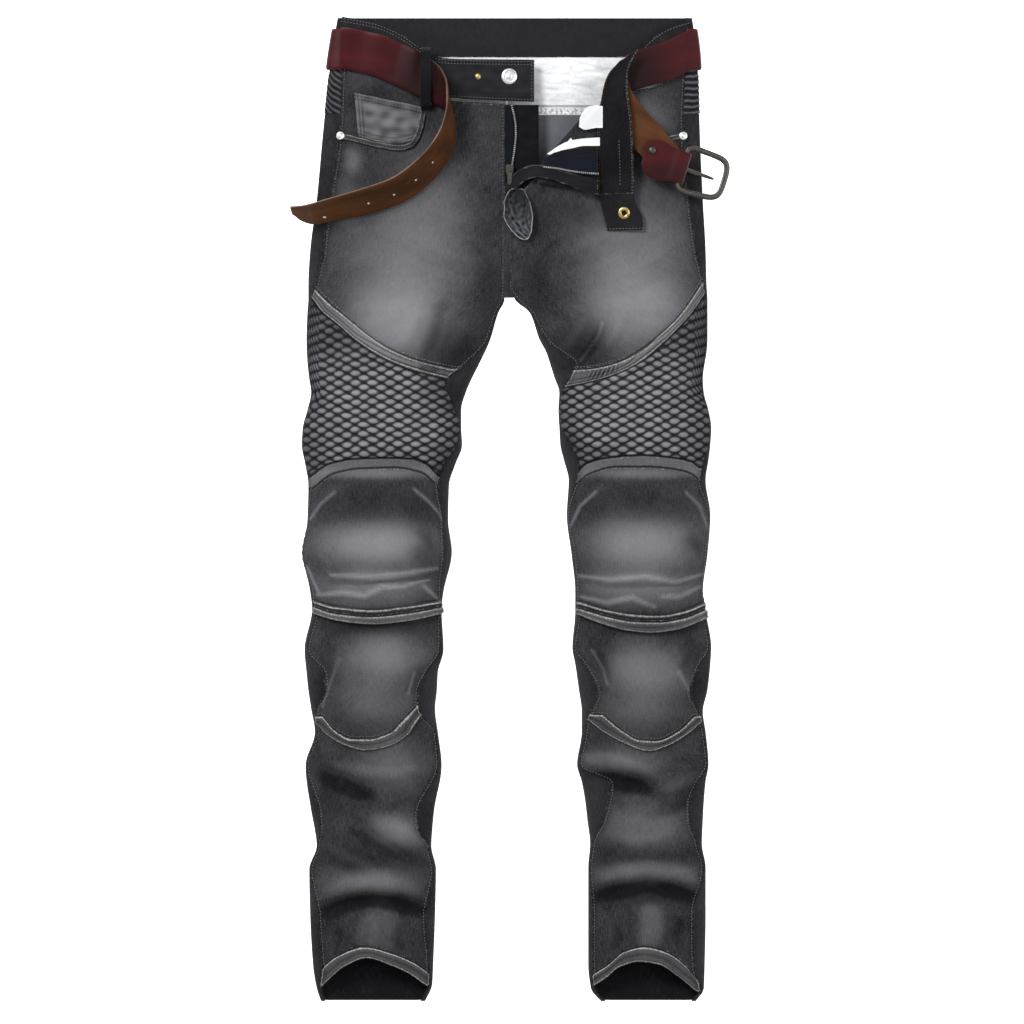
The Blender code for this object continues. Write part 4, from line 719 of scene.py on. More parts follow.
# Painted shade: soft dark patches where shade falls in folds, under overhangs and toward the leg sides, in
# the same columns.
SHADOWS = {
    "right": ((-64, 360, 28, 28, 0.8), (-26, 290, 16, 60, 0.4), (-150, 92, 44, 14, 0.6),
              (-205, 170, 14, 40, 0.3), (-97, 576, 14, 11, 0.6), (-150, 524, 60, 19, 0.5),
              (-150, 655, 52, 8, 0.7), (-196, 700, 12, 30, 0.5), (-101, 708, 12, 16, 0.6),
              (-165, 838, 20, 12, 0.4), (-150, 893, 50, 9, 0.35), (-150, 948, 46, 8, 0.8),
              (-196, 850, 16, 26, 0.4), (-106, 910, 18, 18, 0.3)),
    "left": ((72, 358, 28, 28, 0.75), (22, 290, 16, 56, 0.4), (60, 214, 60, 16, 0.5),
             (150, 196, 30, 26, 0.3), (188, 566, 13, 14, 0.5), (140, 524, 60, 18, 0.45),
             (140, 655, 52, 8, 0.6), (92, 700, 12, 28, 0.5), (190, 690, 12, 30, 0.5),
             (110, 824, 44, 12, 0.55), (144, 943, 60, 10, 0.75), (186, 850, 16, 26, 0.4),
             (96, 900, 18, 18, 0.4)),
}


def patches_at(table, x, down):
    """Soft flat-topped patches of a table, which add up without passing 1."""
    total = np.zeros(np.shape(x))
    for cx, cd, half_x, half_d, strength in table:
        away = ((x - cx) / half_x) ** 2 + ((down - cd) / half_d) ** 2
        total = total + (1 - total) * strength * np.exp(-away ** 1.3)
    return total


def fade_at(side, x, down, ridge):
    raised = np.clip(np.abs(ridge) - 1, 0, 3) * np.sign(ridge)
    return np.clip(0.1 + 0.9 * patches_at(FADES[side], x, down) + 0.04 * raised, 0, 1)


# Thin worn lines where sharp creases rub: side, strength, path of (x, down)
WORN_LINES = (
    ("right", 0.62, ((-193, 599), (-150, 601), (-117, 598), (-83, 592))),
    ("right", 0.66, ((-207, 620), (-179, 618), (-158, 621), (-140, 613), (-118, 612), (-92, 604))),
    ("right", 0.6, ((-97, 611), (-88, 620), (-81, 628))),
    ("right", 0.6, ((-218, 590), (-205, 618))),
    ("right", 0.55, ((-106, 508), (-90, 522), (-80, 534), (-72, 556))),
    ("right", 0.5, ((-216, 540), (-205, 524), (-190, 511))),
    ("right", 0.45, ((-186, 688), (-196, 716), (-204, 740))),
    ("right", 0.45, ((-106, 704), (-112, 726))),
    ("left", 0.5, ((95, 330), (90, 346), (72, 370))),
    ("left", 0.6, ((72, 600), (104, 604), (140, 601), (172, 606), (200, 598))),
    ("left", 0.6, ((74, 622), (100, 628), (126, 623), (150, 632))),
    ("left", 0.55, ((196, 612), (176, 622), (158, 622))),
    ("left", 0.55, ((62, 548), (72, 526), (88, 511))),
    ("left", 0.5, ((184, 512), (198, 526), (206, 550))),
    ("left", 0.5, ((176, 702), (188, 724), (202, 746))),
    ("left", 0.45, ((84, 680), (96, 700), (100, 716))),
)
LINE_REACH = 1.5


def worn_lines(side, x, down):
    total = np.zeros(np.shape(x))
    for of_side, strength, path in WORN_LINES:
        if of_side == side:
            away, _ = along_path(x, down, path)
            total = np.maximum(total, strength * np.exp(-(away / LINE_REACH) ** 2))
    return total


# %% [markdown]
# A front panel runs between two cross seams. Its cloth puckers along them, where the thread pulls
# it in, and its edges wear pale.

# %% Front panels
PUCKER_PITCH = 7.0


def fine_ends(size, pitch):
    """Shares of a length at an even pitch, with finer steps close to both ends."""
    ends = np.array((0.0, 0.45, 0.95, 1.6, 2.5)) if size > 14.0 else np.array((0.0, 0.5, 1.1))
    inner = np.linspace(ends[-1] + pitch, size - ends[-1] - pitch,
                        max(2, int((size - 2 * (ends[-1] + pitch)) / pitch) + 1))
    return np.concatenate([ends, inner, size - ends[::-1]]) / size


def panel_grid(side, upper, lower, reach=(0.15, -0.15), pitch=2.0):
    """Distance down and share across for a fine grid between two cross seams."""
    share = fine_ends(140.0, pitch)
    top = seam_line(side, upper, share) + reach[0]
    low = seam_line(side, lower, share) + reach[1]
    v = fine_ends(float((low - top).max()), pitch)[:, None]
    return mix(top[None, :], low[None, :], v), np.broadcast_to(share[None, :], (len(v), len(share))), v


def front_panel(name, node, side, upper, lower, material, slot, lift=(0.0, 0.0), thickness=DENIM,
                reach=(0.15, -0.15), pitch=2.0, relief=None, roll=(1.0, 1.0), pucker=0.35,
                extra=0.0, wear=0.4, painted_cast_shadow=0.0, low_lines=(), speckle=0.0):
    """A panel of the front with its creases, puckers and masks, with painted shade in its troughs, along its
    seams and borders and below overhangs.

    low_lines are sewn lines along the lower seam: distance, reach, height and light, which is worn pale when
    positive and painted shade when negative.
    """
    down, share, v = panel_grid(side, upper, lower, reach, pitch)
    smooth = front_point(side, down, share)
    normal = normals_of(smooth, UP)
    x = plan_x(smooth)
    from_top, from_low = down - down[:1], down[-1:] - down
    width = np.abs(measure(side, "outer", down) - measure(side, "inner", down))
    from_out, from_in = share * width, (1 - share) * width
    seam_side = np.minimum(from_out, from_in)
    high = mix(lift[0], lift[1], v) + np.zeros_like(down)
    wave_x = np.sin(x / PUCKER_PITCH * 2 * np.pi + 2.0 * ripple(x / 14, down / 14, 5))
    wave_d = np.sin(down / PUCKER_PITCH * 2 * np.pi + 2.0 * ripple(x / 14, down / 14, 8))
    high += pucker * wave_x * (np.exp(-(from_top / 5) ** 2) + np.exp(-(from_low / 5) ** 2))
    high += pucker * 1.3 * wave_d * np.exp(-(seam_side / 6) ** 2)
    high -= roll[0] * np.exp(-(from_top / 1.8) ** 2) + roll[1] * np.exp(-(from_low / 1.8) ** 2)
    extra_high = relief(x, down, from_top, from_low, from_out, from_in) if relief else 0.0
    lines_here = worn_lines(side, x, down)
    line_edge, line_dark = 0.4 * lines_here, 0.0
    for distance, reach_low, height, light in low_lines:
        line = np.exp(-((from_low - distance) / reach_low) ** 2)
        extra_high = extra_high + height * line
        line_edge = np.maximum(line_edge, max(light, 0.0) * line)
        line_dark = line_dark + max(-light, 0.0) * line
    outer = smooth + normal * (high + extra_high)[..., None]
    inner = smooth + normal * (high - thickness)[..., None]
    creases = crease_height(side, x, down)
    edge = np.zeros_like(down)
    for distance in (from_top, from_low, from_out, from_in):
        edge = np.maximum(edge, np.exp(-((distance - 1.4) / 0.9) ** 2))
    # Painted shade: darker in crease troughs, in the SHADOWS patches, where the relief dips, towards the side
    # seams, in a cast shadow along the top and at the borders.
    dark = np.clip((-creases - 1.6) / 8, 0, 0.55) + patches_at(SHADOWS[side], x, down)
    dark = dark + np.clip(-extra_high, 0, 0.9) * np.ones_like(down)
    dark = np.maximum(dark, 0.7 * np.exp(-(seam_side / 7) ** 2)) + painted_cast_shadow * np.exp(-(from_top / 9) ** 2)
    to_border = np.minimum(np.minimum(from_top, from_low), seam_side)
    dark = np.maximum(dark, 0.95 * np.exp(-(to_border / 0.8) ** 2))
    edge = np.maximum(np.maximum(wear * edge, speckle), line_edge)
    light = (fade_at(side, x, down, creases) + extra + 0.25 * np.clip(extra_high, 0, 1)
             + 0.6 * lines_here)
    masks = {"fade": np.clip(light, 0, 1), "edge": edge,
             "painted_shade": np.clip(dark * (1 - edge * 0.6) + line_dark, 0, 1)}
    sew(name, outer, inner, [material], slot, [node], smooth, masks)
    return {"points": outer, "normals": normal}


def rolls(x, down, from_top, from_low, from_out, from_in):
    """Two rolled ridges with a stitched valley between them."""
    share = from_top / np.maximum(from_top + from_low, 0.1)
    return 0.75 * np.abs(np.sin(2 * np.pi * np.clip(share, 0, 1))) ** 0.8 - 0.2


def gathers(x, down, from_top, from_low, from_out, from_in):
    """Small pleats across the band near its inner end."""
    near = np.exp(-((from_in - 36) / 14) ** 4)
    return 1.5 * near * np.sin(from_in / 4.2 * 2 * np.pi) * np.sin(
        np.pi * np.clip(from_top / np.maximum(from_top + from_low, 0.1), 0, 1))


SEWN = {}
BAND = 1.7
# piece: cloth, solid, upper seam, lower seam, material, slot, what it has of its own
FRONT_PANELS = {
    "thigh": ("thigh_front", "front_thigh", None, "thigh_top", DENIM_OUT, "denim", {"roll": (0.0, 0.8)}),
    "thigh_band": ("thigh_band", "thigh_band", "thigh_top", "thigh_low", DENIM_BAND, "denim_faded", {
        "lift": (0.9, 0.9), "thickness": BAND, "pitch": 1.0, "extra": 0.36, "wear": 0.75,
        "relief": gathers, "speckle": 0.12,
        "low_lines": ((2.4, 0.6, -0.4, -0.9), (6.8, 0.6, -0.4, -0.7))}),
    "knee_band": ("knee_top_band", "knee_top_band", "knee_top", "knee_low", DENIM_BAND, "denim_faded", {
        "lift": (1.2, 1.2), "thickness": BAND, "pitch": 1.2, "extra": 0.36,
        "low_lines": ((0.5, 0.7, -0.2, -0.9),)}),
    "knee": ("knee_panel", "knee_panel", "knee_low", "cap_hem", DENIM_OUT, "denim_faded", {
        "lift": (0.4, 5.0), "pucker": 0.22, "pitch": 1.8,
        "low_lines": ((5.6, 1.2, 0.9, 0.85), (3.0, 0.9, -0.6, -0.9), (8.4, 0.9, -0.5, -0.7))}),
    "knee_hem": ("knee_hem_band", "knee_hem_band", "cap_hem", "cap_end", DENIM_BAND, "denim_faded", {
        "lift": (5.4, 5.0), "thickness": BAND, "pitch": 1.2, "extra": 0.25, "wear": 0.8,
        "relief": rolls}),
    # The shin and the lower leg get a painted shadow along their tops, below the bands that overhang them.
    "shin": ("shin_panel", "shin_panel", "cap_hem", "rim_in", DENIM_OUT, "denim", {
        "reach": (2.0, -0.15), "painted_cast_shadow": 0.75, "pitch": 1.9}),
    "rim": ("shin_rim", "shin_rim", "rim_in", "rim_out", DENIM_BAND, "denim_faded", {
        "lift": (2.4, 2.4), "thickness": BAND, "pitch": 1.2, "reach": (-2.0, 0.0), "wear": 0.8,
        "relief": rolls}),
    "lower": ("lower_leg", "lower_leg_front", "rim_in", "hem_top", DENIM_OUT, "denim", {
        "roll": (0.0, 0.8), "pucker": 0.5, "painted_cast_shadow": 0.5}),
    "hem": ("hem_band", "hem_band", "hem_top", "hem_end", DENIM_BAND, "denim_faded", {
        "lift": (0.8, 0.8), "thickness": BAND, "pitch": 1.2, "extra": 0.06, "wear": 0.8,
        "relief": rolls}),
}
TOP_SEAMS = {"right": ("waist", 2.0), "left": ("opened", 1.0)}
for side, (top_seam, gap) in TOP_SEAMS.items():
    for piece, (cloth, solid, upper, lower, material, slot, own) in FRONT_PANELS.items():
        if upper is None:
            upper, own = top_seam, {**own, "reach": (gap, -0.15)}
        SEWN[piece, side] = front_panel(f"{cloth}_{side}_cloth", f"{solid}_{side}", side, upper, lower,
                                        material, slot, **own)
print("front panels:", len(SEWN))

# %% [markdown]
# The thigh panels are quilted: two layers with padding between them, sewn in a lattice, so each
# lozenge puffs up between low stitched lines. The lattice is laid on the cut of the cloth, at one
# pitch all over, and runs off the panel's edges as sewn cloth does.

# %% Quilted thigh panels
LOZENGE = (18.4, 10.0)
PUFF = 3.0
PANEL_WIDTH = 150.0
QUILT_MIDDLE = {"right": -150.0, "left": 135.0}


def lozenges(u, v):
    """How far in each place lies from the seams of its lozenge, from 0 to 1, with rounded corners."""
    a = u / LOZENGE[0] + v / LOZENGE[1]
    b = u / LOZENGE[0] - v / LOZENGE[1]
    return 4 * np.abs(a - np.round(a)) * np.abs(b - np.round(b))


for side in ("right", "left"):
    down, share, v = panel_grid(side, "thigh_low", "knee_top", pitch=1.2)
    smooth = front_point(side, down, share)
    normal = normals_of(smooth, UP)
    x = plan_x(smooth)
    steps = np.diff(smooth, axis=1)
    run = np.concatenate([np.zeros((len(down), 1)), np.cumsum(np.hypot(steps[..., 0], steps[..., 2]), 1)], 1)
    sign = np.sign(x[0, -1] - x[0, 0])
    for row_run, row_x in zip(run, x * sign):
        row_run -= np.interp(sign * QUILT_MIDDLE[side], row_x, row_run)
    wobble = 1.3 * ripple(x / 8, down / 8, 11)
    width = np.abs(measure(side, "outer", down) - measure(side, "inner", down))
    from_out = share * width
    slant = np.clip(26.0 - from_out, 0, 26) * (1 - ease(down, 385, 425))
    inset = lozenges((run + wobble) * (1 + 0.5 * (slant > 0) * slant / 26),
                     down - 340 + 0.9 * slant * (1, -1)[side == "left"] + wobble)
    from_side = np.minimum(share, 1 - share) * PANEL_WIDTH
    border = np.minimum(np.minimum(down - down[:1], down[-1:] - down), from_side)
    puffs = np.sqrt(np.clip(1 - (1 - np.clip(inset * 1.4, 0, 1)) ** 2, 0, 1)) * ease(border, 0.0, 3.0)
    uneven = 1.0 + 0.3 * ripple(x / 7, down / 5, 12)
    outer = smooth + normal * (PUFF * puffs * uneven)[..., None]
    inner = smooth - normal * DENIM
    centre = np.exp(-((share - 0.52) / 0.36) ** 4 - ((down - 425) / 70) ** 4)
    # Paler on the tops of the puffs; painted shade in the stitched gaps between the lozenges and along the
    # panel's sides.
    masks = {"fade": np.clip((0.34 + 0.62 * centre) * puffs * uneven, 0, 1),
             "painted_shade": np.clip(1.7 - 6.5 * inset, 0, 1.3) + 0.45 * np.exp(-(from_side / 9) ** 2)}
    thing = sew(f"quilted_thigh_{side}_cloth", outer, inner, [DENIM_OUT], "denim", [f"quilted_panel_{side}"],
                smooth, masks)
print("lozenge", LOZENGE, "mm, puff", PUFF, "mm")

# %% [markdown]
# The back of each leg is one tube with its front cut away: it shows at the sides, at the hems,
# and inside the open waist, where its paler reverse is seen.

# %% Backs, yokes and hip inserts
def back_grid(side, downs, shares):
    down, share = np.meshgrid(downs, shares, indexing="ij")
    points = back_point(side, down, share)
    middle = place((measure(side, "outer", down) + measure(side, "inner", down)) / 2, down,
                   side_height(down))
    away = points - middle
    centre = 1.0 if side == "right" else -1.0
    near_crotch = (share > 0.5) & (down < CROTCH[1])
    under = np.stack([centre * ease(down, *CROTCH), np.zeros_like(down), -np.ones_like(down)], -1)
    away = np.where(near_crotch[..., None], under, away)
    return down, share, points, normals_of(points, away)


BACK_SHARES = np.concatenate([np.linspace(0, 0.12, 14), np.linspace(0.14, 0.86, 40),
                              np.linspace(0.88, 1, 14)])
for side in ("right", "left"):
    down, share, points, normal = back_grid(side, np.linspace(106.2, LENGTH, 220), BACK_SHARES)
    near_seam = np.minimum(share, 1 - share) * 260
    x = plan_x(points)
    puckers = np.sin(down / PUCKER_PITCH * 2 * np.pi + 2 * ripple(x / 14, down / 14, 8))
    low_part = ease(points[..., 2], 2.0, 6.0)
    high = 0.45 * puckers * np.exp(-(near_seam / 7) ** 2) * low_part
    hem = LENGTH - down
    high += 0.5 * low_part * np.exp(-(hem / 12) ** 4)
    outer = points + normal * high[..., None]
    inner = points + normal * (high - 1.4)[..., None]
    edge = np.maximum(np.exp(-(near_seam / 2.6) ** 2), np.exp(-(hem / 1.8) ** 2))
    # Painted shade darkens the outside of the back all over, more along its seams; inside, painted shade
    # deepens towards the hem.
    masks = {"fade": 0.14 + 0.1 * ripple(x / 20, down / 20, 4), "edge": 0.4 * edge,
             "painted_shade": 0.75 + 0.2 * np.exp(-(near_seam / 5) ** 2)}
    inside = {"fade": (0.62 + 0.2 * ripple(x / 12, down / 9, 6)) * (1 - ease(down, 230, 300)),
              "painted_shade": 0.6 * ease(down, 900, 1000)}
    sew(f"back_leg_{side}_cloth", outer, inner, [DENIM_OUT, DENIM_PALE_IN, DENIM_BAND], "denim_inside",
        [f"back_leg_{side}"], points, masks, under_masks=inside)
    shares = np.concatenate([np.linspace(SIDE_SHARE + 0.004, 0.4, 16), np.linspace(0.41, 1.0, 100)])
    down, share, points, normal = back_grid(side, np.linspace(45.2, 105.8, 52), shares)
    x = plan_x(points)
    crush = 0.6 * ripple(x / 7, down / 5, 21) + 0.8 * ripple(x / 6.0, down / 1.8, 22)
    # Painted shade on the lining: a dark line at the seam and thin dark crease lines, and its paleness rises
    # and falls with the crumples as painted light and shade. The shade mask also holds a ragged dark band
    # along its lower edge.
    ragged_dark_edge = 0.75 * (ripple(x / 0.9, down / 0.8, 51) > 0.05) * ease(down, 98.5, 100)
    crease_shade_lines = 0.16 * (np.abs(ripple(x / 6.0, down / 1.6, 23)) < 0.08)
    seam = 0.8 * np.exp(-((down - 100) / 5) ** 2) * np.sin(x / 2.4)
    inner = points - normal * (1.4 + np.abs(crush) * 1.2 + np.maximum(seam, 0))[..., None]
    inside = {"fade": np.clip(0.8 + 0.35 * crush, 0, 1), "painted_shade": np.maximum(np.maximum(
        1.2 * np.exp(-((down - 96.8) / 0.9) ** 2), ragged_dark_edge), crease_shade_lines)}
    sew(f"yoke_{side}_cloth", points, inner, [DENIM_OUT, YOKE_CLOTH], "yoke_lining", [f"yoke_{side}"], points,
        under_masks=inside)
    down, share, points, normal = back_grid(side, np.linspace(52.0, 105.8, 100),
                                            np.linspace(0, SIDE_SHARE, 14))
    middle_share = np.sin(np.pi * share / SIDE_SHARE) ** 0.6
    lean = 150.0 if side == "right" else 20.0
    ribs = np.abs(np.sin((down + lean * share + 1.5 * ripple(down / 6, share * 60, 33)) / 6.4 * np.pi)) ** 0.6
    high = 2.0 * ribs * middle_share * ease(down, 62, 66)
    # Painted shade fills the grooves between the ribs; the rib tops are paler.
    masks = {"fade": 0.05 + 0.4 * ribs ** 10, "painted_shade": np.clip(1.4 - 1.2 * ribs, 0, 1)}
    sew(f"hip_insert_{side}_cloth", points + normal * high[..., None], points - normal * DENIM, [DENIM_OUT],
        "denim", [f"hip_insert_{side}"], points, masks)
print("backs, yokes and hip inserts made")

# %% [markdown]
# The waistband, pockets and fly lie on the hips. Each is a strip that follows the cloth below it,
# made from that cloth's points moved out, so it can never sink in or float.

# %% Strips on the hips
def spread_rows(rows, count):
    """More rows along a strip, on a smooth curve through the given ones."""
    table = np.array(rows, float)
    run = np.concatenate([[0], np.cumsum(np.linalg.norm(np.diff(table, axis=0), axis=-1))])
    run = run / run[-1]
    t = np.linspace(0, 1, count)
    return np.stack([curve(list(zip(run, table[:, k])), t) for k in range(table.shape[1])], 1)


def hip_strip(name, node, rows, material, slot, lift, thickness, count=60, across=18, bulge=0.0,
              fade=0.1, pucker=0.25, edges=True, inside=None, patchy=0.15, grooves=()):
    """A strip between two lines of (x, down, x, down) points, on the upper cloth.

    grooves are sewn valleys at a distance along the strip or across from its edges.
    """
    table = spread_rows(rows, count)
    s = np.linspace(0, 1, across)[None, :]
    x = mix(table[:, 0:1], table[:, 2:3], s)
    down = mix(table[:, 1:2], table[:, 3:4], s)
    points = deck_point(x, down)
    normal = normals_of(points, UP)
    border = np.minimum(s, 1 - s) * np.hypot(table[:, 2] - table[:, 0], table[:, 3] - table[:, 1])[:, None]
    high = lift + bulge * np.sin(np.pi * s) ** 0.5 - 0.5 * np.exp(-(border / 1.2) ** 2)
    puckers = np.sin(np.arange(count)[:, None] * 1.3 + 2 * ripple(x / 12, down / 12, 9))
    high = high + pucker * puckers * np.exp(-((border - 3) / 2.5) ** 2)
    along = np.concatenate([[0], np.cumsum(np.hypot(*np.diff(table[:, :2], axis=0).T))])[:, None]
    cut_in = 0.0 * x
    for which, distance in grooves:
        away = along if which == "along" else border
        cut_in = np.maximum(cut_in, np.exp(-((away - distance) / 0.9) ** 2))
    high = high - 0.5 * cut_in
    outer = points + normal * high[..., None]
    inner = points + normal * (lift - thickness)
    # Painted shade along its borders and in its sewn grooves.
    masks = {"fade": fade + patchy * ripple(x / 4, down / 3, 7),
             "painted_shade": np.maximum(0.55 * np.exp(-(border / 4) ** 2), 0.8 * cut_in),
             "edge": (0.6 * np.exp(-((border - 0.8) / 0.9) ** 2) if edges else 0.0) * np.ones_like(x)}
    sew(name, outer, inner, [material] if inside is None else [material, inside], slot, [node], points,
        masks)
    return {"points": outer, "normals": normal}


SEWN["band_right", 0] = hip_strip(
    "waistband_right_cloth", "waistband_right_front",
    ((-183.4, 2.2, -184.4, 45.2), (-161, 6, -164.5, 50), (-143, 10.5, -148, 54), (-120, 21, -127, 63),
     (-100, 34.5, -106, 74.5), (-82, 46, -85, 87), (-60, 48, -61, 90), (-20, 48.5, -20, 92.3),
     (22, 49, 22, 94)), DENIM_BLACK, "denim", 1.6, 2.6, count=150, across=26, bulge=0.5, fade=0.25,
    inside=DENIM_BLACK)
SEWN["band_left", 0] = hip_strip(
    "waistband_left_cloth", "waistband_left_front",
    ((187.0, 7.2, 186.6, 44.6), (165, 15, 173, 54), (148, 26, 163, 63.4), (138, 36, 151, 73.6)),
    DENIM_BLACK, "denim", 1.6, 2.6, count=50, across=26, bulge=0.4, fade=0.25)
SEWN["coin", 0] = hip_strip(
    "coin_pocket_cloth", "coin_pocket",
    ((-170, 84, -166, 130), (-150, 88, -147, 136), (-130, 92.5, -127, 139), (-112, 96, -111, 136),
     (-98, 99.5, -102, 130)), DENIM_OUT, "denim_faded", 1.5, 1.1, count=60, across=40, bulge=0.5,
    fade=0.42, patchy=0.35, grooves=(("along", 7.5), ("along", 3.6), ("across", 6.5)))
POCKET_MOUTHS = {
    "right": (((-183, 133), (-164, 138), (-143, 143), (-121, 146), (-109, 143), (-101, 134), (-96, 119),
               (-94, 107)), 1.0, 3.0),
    "left": (((178, 133), (160, 138), (140, 143), (118, 146), (106, 143), (97, 134)), -1.0, 1.6),
}
for side, (mouth, hand, lift) in POCKET_MOUTHS.items():
    rows = []
    for k, (x, down) in enumerate(mouth):
        run = np.subtract(mouth[min(k + 1, len(mouth) - 1)], mouth[max(k - 1, 0)])
        run = run / np.linalg.norm(run)
        rows.append((x, down, x + hand * run[1] * 5.8, down - hand * run[0] * 5.8))
    SEWN["pocket", side] = hip_strip(f"pocket_mouth_{side}_cloth", f"pocket_facing_{side}", rows, DENIM_BAND,
                                     "denim_faded", lift, 1.2, count=110, across=9, bulge=0.6, fade=0.2)
hip_strip("fly_shield_cloth", "fly_shield", [(-16, d, 27, d) for d in (97, 117, 137, 157, 178)], SHIELD_CLOTH,
          "denim", -2.2, 1.3, count=60, across=30, fade=0.1, edges=False)
hip_strip("zip_tape_cloth", "zip_tape_right", [(-8.4, d, -0.4, d) for d in (97, 115, 135, 155, 175, 190)],
          TAPE_CLOTH, "zip_tape", 0.3, 0.8, count=70, across=6, fade=0.3)
print("strips on the hips made")

# %% [markdown]
# The left front has fallen open: its cloth rolls over along a slanting fold, so that the inside of
# the waistband, the fly facing and the tab with its eyelet face up.

# %% The opened left front
FOLD_START = np.array((24.0, 172.0))
FOLD_END = np.array((85.0, 106.0))
FLY_EDGE = ((0.0, 26, 181, 5.5), (0.25, 52, 185, 5.5), (0.5, 87, 190, 6.0), (0.64, 89.5, 170, 7.5),
            (0.82, 89.5, 140, 9.5), (1.0, 89.5, 110, 11.0))


def flap_point(t, s):
    """The turned-over front: t along its fold from the crotch, s away from the fold."""
    t, s = np.broadcast_arrays(np.asarray(t, float), np.asarray(s, float))
    px, pd = mix(FOLD_START[0], FOLD_END[0], t), mix(FOLD_START[1], FOLD_END[1], t)
    qx, qd, rise = (curve([(row[0], row[k]) for row in FLY_EDGE], t) for k in (1, 2, 3))
    x, down = mix(px, qx, s), mix(pd, qd, s)
    return place(x, down, deck_z(x, down) + mix(mix(5.6, 11.0, t), rise, s))


def free_sheet(name, node, middle, materials, slot, thickness, fade=0.15, edge_width=1.5, wave=0.3,
               crumple=None, wear=0.45, dark=0.0, patchy=0.15):
    """A sheet of even thickness about a grid, with worn edges, soft unevenness, and painted shade in the
    troughs of its bend and as much more as dark gives.
    """
    spread = 12 if patchy < 0.3 else 1.3
    normal = normals_of(middle, UP)
    u, v = run_along(middle, 1), run_along(middle, 0)
    border = np.minimum(np.minimum(u, u[:, -1:] - u), np.minimum(v, v[-1:] - v))
    bend = wave * ripple(u / 6, v / 6, 31) if crumple is None else crumple(u, v)
    moved = middle + normal * bend[..., None]
    # Painted shade: darker in the troughs of its bend, and by dark.
    masks = {"fade": fade + patchy * ripple(u / spread, v / spread, 17),
             "edge": wear * np.exp(-(border / edge_width) ** 2),
             "painted_shade": np.clip(-bend / 3, 0, 0.5) + dark}
    half = normal * thickness / 2
    sew(name, moved + half, moved - half, materials, slot, [node] if node else [], middle, masks)
    return {"points": moved + half, "normals": normal}


fold_run = np.array((FOLD_END[0] - FOLD_START[0], -(FOLD_END[1] - FOLD_START[1]), 0.0))
fold_away = np.array((-fold_run[1], fold_run[0], 0.0)) / np.linalg.norm(fold_run)
t = np.linspace(0, 1, 70)
foot = flap_point(t, 0.0)
deck = deck_z(mix(FOLD_START[0], FOLD_END[0], t), mix(FOLD_START[1], FOLD_END[1], t))
radius = (foot[:, 2] - deck) / 2
centre = np.stack([foot[:, 0], foot[:, 1], deck + radius], 1)
angles = np.radians(np.linspace(-90, 84, 16))
roll_part = (centre[:, None, :] + fold_away * (radius[:, None, None] * np.cos(angles)[None, :, None])
             + UP * (radius[:, None, None] * np.sin(angles)[None, :, None]))
flat_part = flap_point(t[:, None], np.linspace(0.06, 0.99, 48)[None, :])
free_sheet("fly_flap_cloth", "fly_flap", np.concatenate([roll_part, flat_part], 1), [DENIM_IN, DENIM_OUT],
           "denim_inside", DENIM, fade=0.1, wave=0.7, wear=0.1)


def flap_patch(name, node, ts, ss, material, slot, fade):
    """A small piece of cloth sewn on the turned-over front."""
    middle = flap_point(np.linspace(*ts, 40)[:, None], np.linspace(*ss, 30)[None, :]) + np.array((0, 0, 1.8))
    return free_sheet(name, node, middle, [material], slot, 0.9, fade=fade)


flap_patch("fly_facing_cloth", "fly_facing", (0.14, 0.33), (0.5, 0.9), SHIELD_CLOTH, "zip_tape", 0.1)
flap_patch("pocket_bag_cloth", "pocket_bag", (0.22, 0.6), (0.02, 0.22), POCKET_CLOTH, "pocket_cloth", 0.7)


def strip_sheet(rows, count, across):
    """A grid on a ruled surface with rows of ax, ad, az, bx, bd, bz."""
    table = spread_rows(rows, count)
    s = np.linspace(0, 1, across)[None, :]
    return place(mix(table[:, 0:1], table[:, 3:4], s), mix(table[:, 1:2], table[:, 4:5], s),
                 mix(table[:, 2:3], table[:, 5:6], s))


SEWN["flap_band", 0] = free_sheet(
    "waistband_turned_cloth", "waistband_left_flap",
    strip_sheet(((133, 40, 37.5, 113, 52, 37.0), (125, 54, 38.5, 101, 66, 35.5),
                 (121.5, 68, 39.5, 96, 80, 34.5),
                 (121.5, 84, 40, 93, 96, 33.5), (123.5, 100, 40.5, 90.0, 110, 33),
                 (125.5, 116, 40.5, 89.8, 126, 32.0), (127, 145, 39, 89.8, 150, 30),
                 (128, 170, 34, 89.8, 172, 27.8), (128, 192, 29.0, 89.8, 193, 26.4)), 120, 30),
    [DENIM_BLACK, DENIM_OUT], "denim", 2.4, fade=0.05, wave=0.5, edge_width=1.0)
SEWN["tab", 0] = free_sheet(
    "waistband_tab_cloth", "waistband_tab",
    strip_sheet(((129, 192.5, 28.6, 90, 193.5, 26.2), (130, 202, 26.4, 92.5, 203, 25.2),
                 (136, 213, 25.2, 96, 215, 24.4), (138.5, 222, 24.2, 98.5, 224, 23.6),
                 (138, 231, 23.4, 100, 232, 23.2)), 40, 34),
    [DENIM_BLACK], "denim", 2.4, fade=0.2, wave=0.4, wear=0.3)

# down, x of both edges, height of the curled edges
CURL_ROWS = ((187, 0, 8, 4), (190, -5, 12, 6), (196, -8.5, 15, 8), (204, -10.2, 18, 9),
             (217, -10.2, 20.5, 9), (229, -5, 20, 8), (236, 1, 18.4, 6), (240.5, 7, 15.5, 4),
             (242, 10, 13, 3))
table = spread_rows(CURL_ROWS, 60)
s = np.linspace(0, 1, 40)[None, :]
x = mix(table[:, 1:2], table[:, 2:3], s)
down = np.broadcast_to(table[:, 0:1], x.shape)
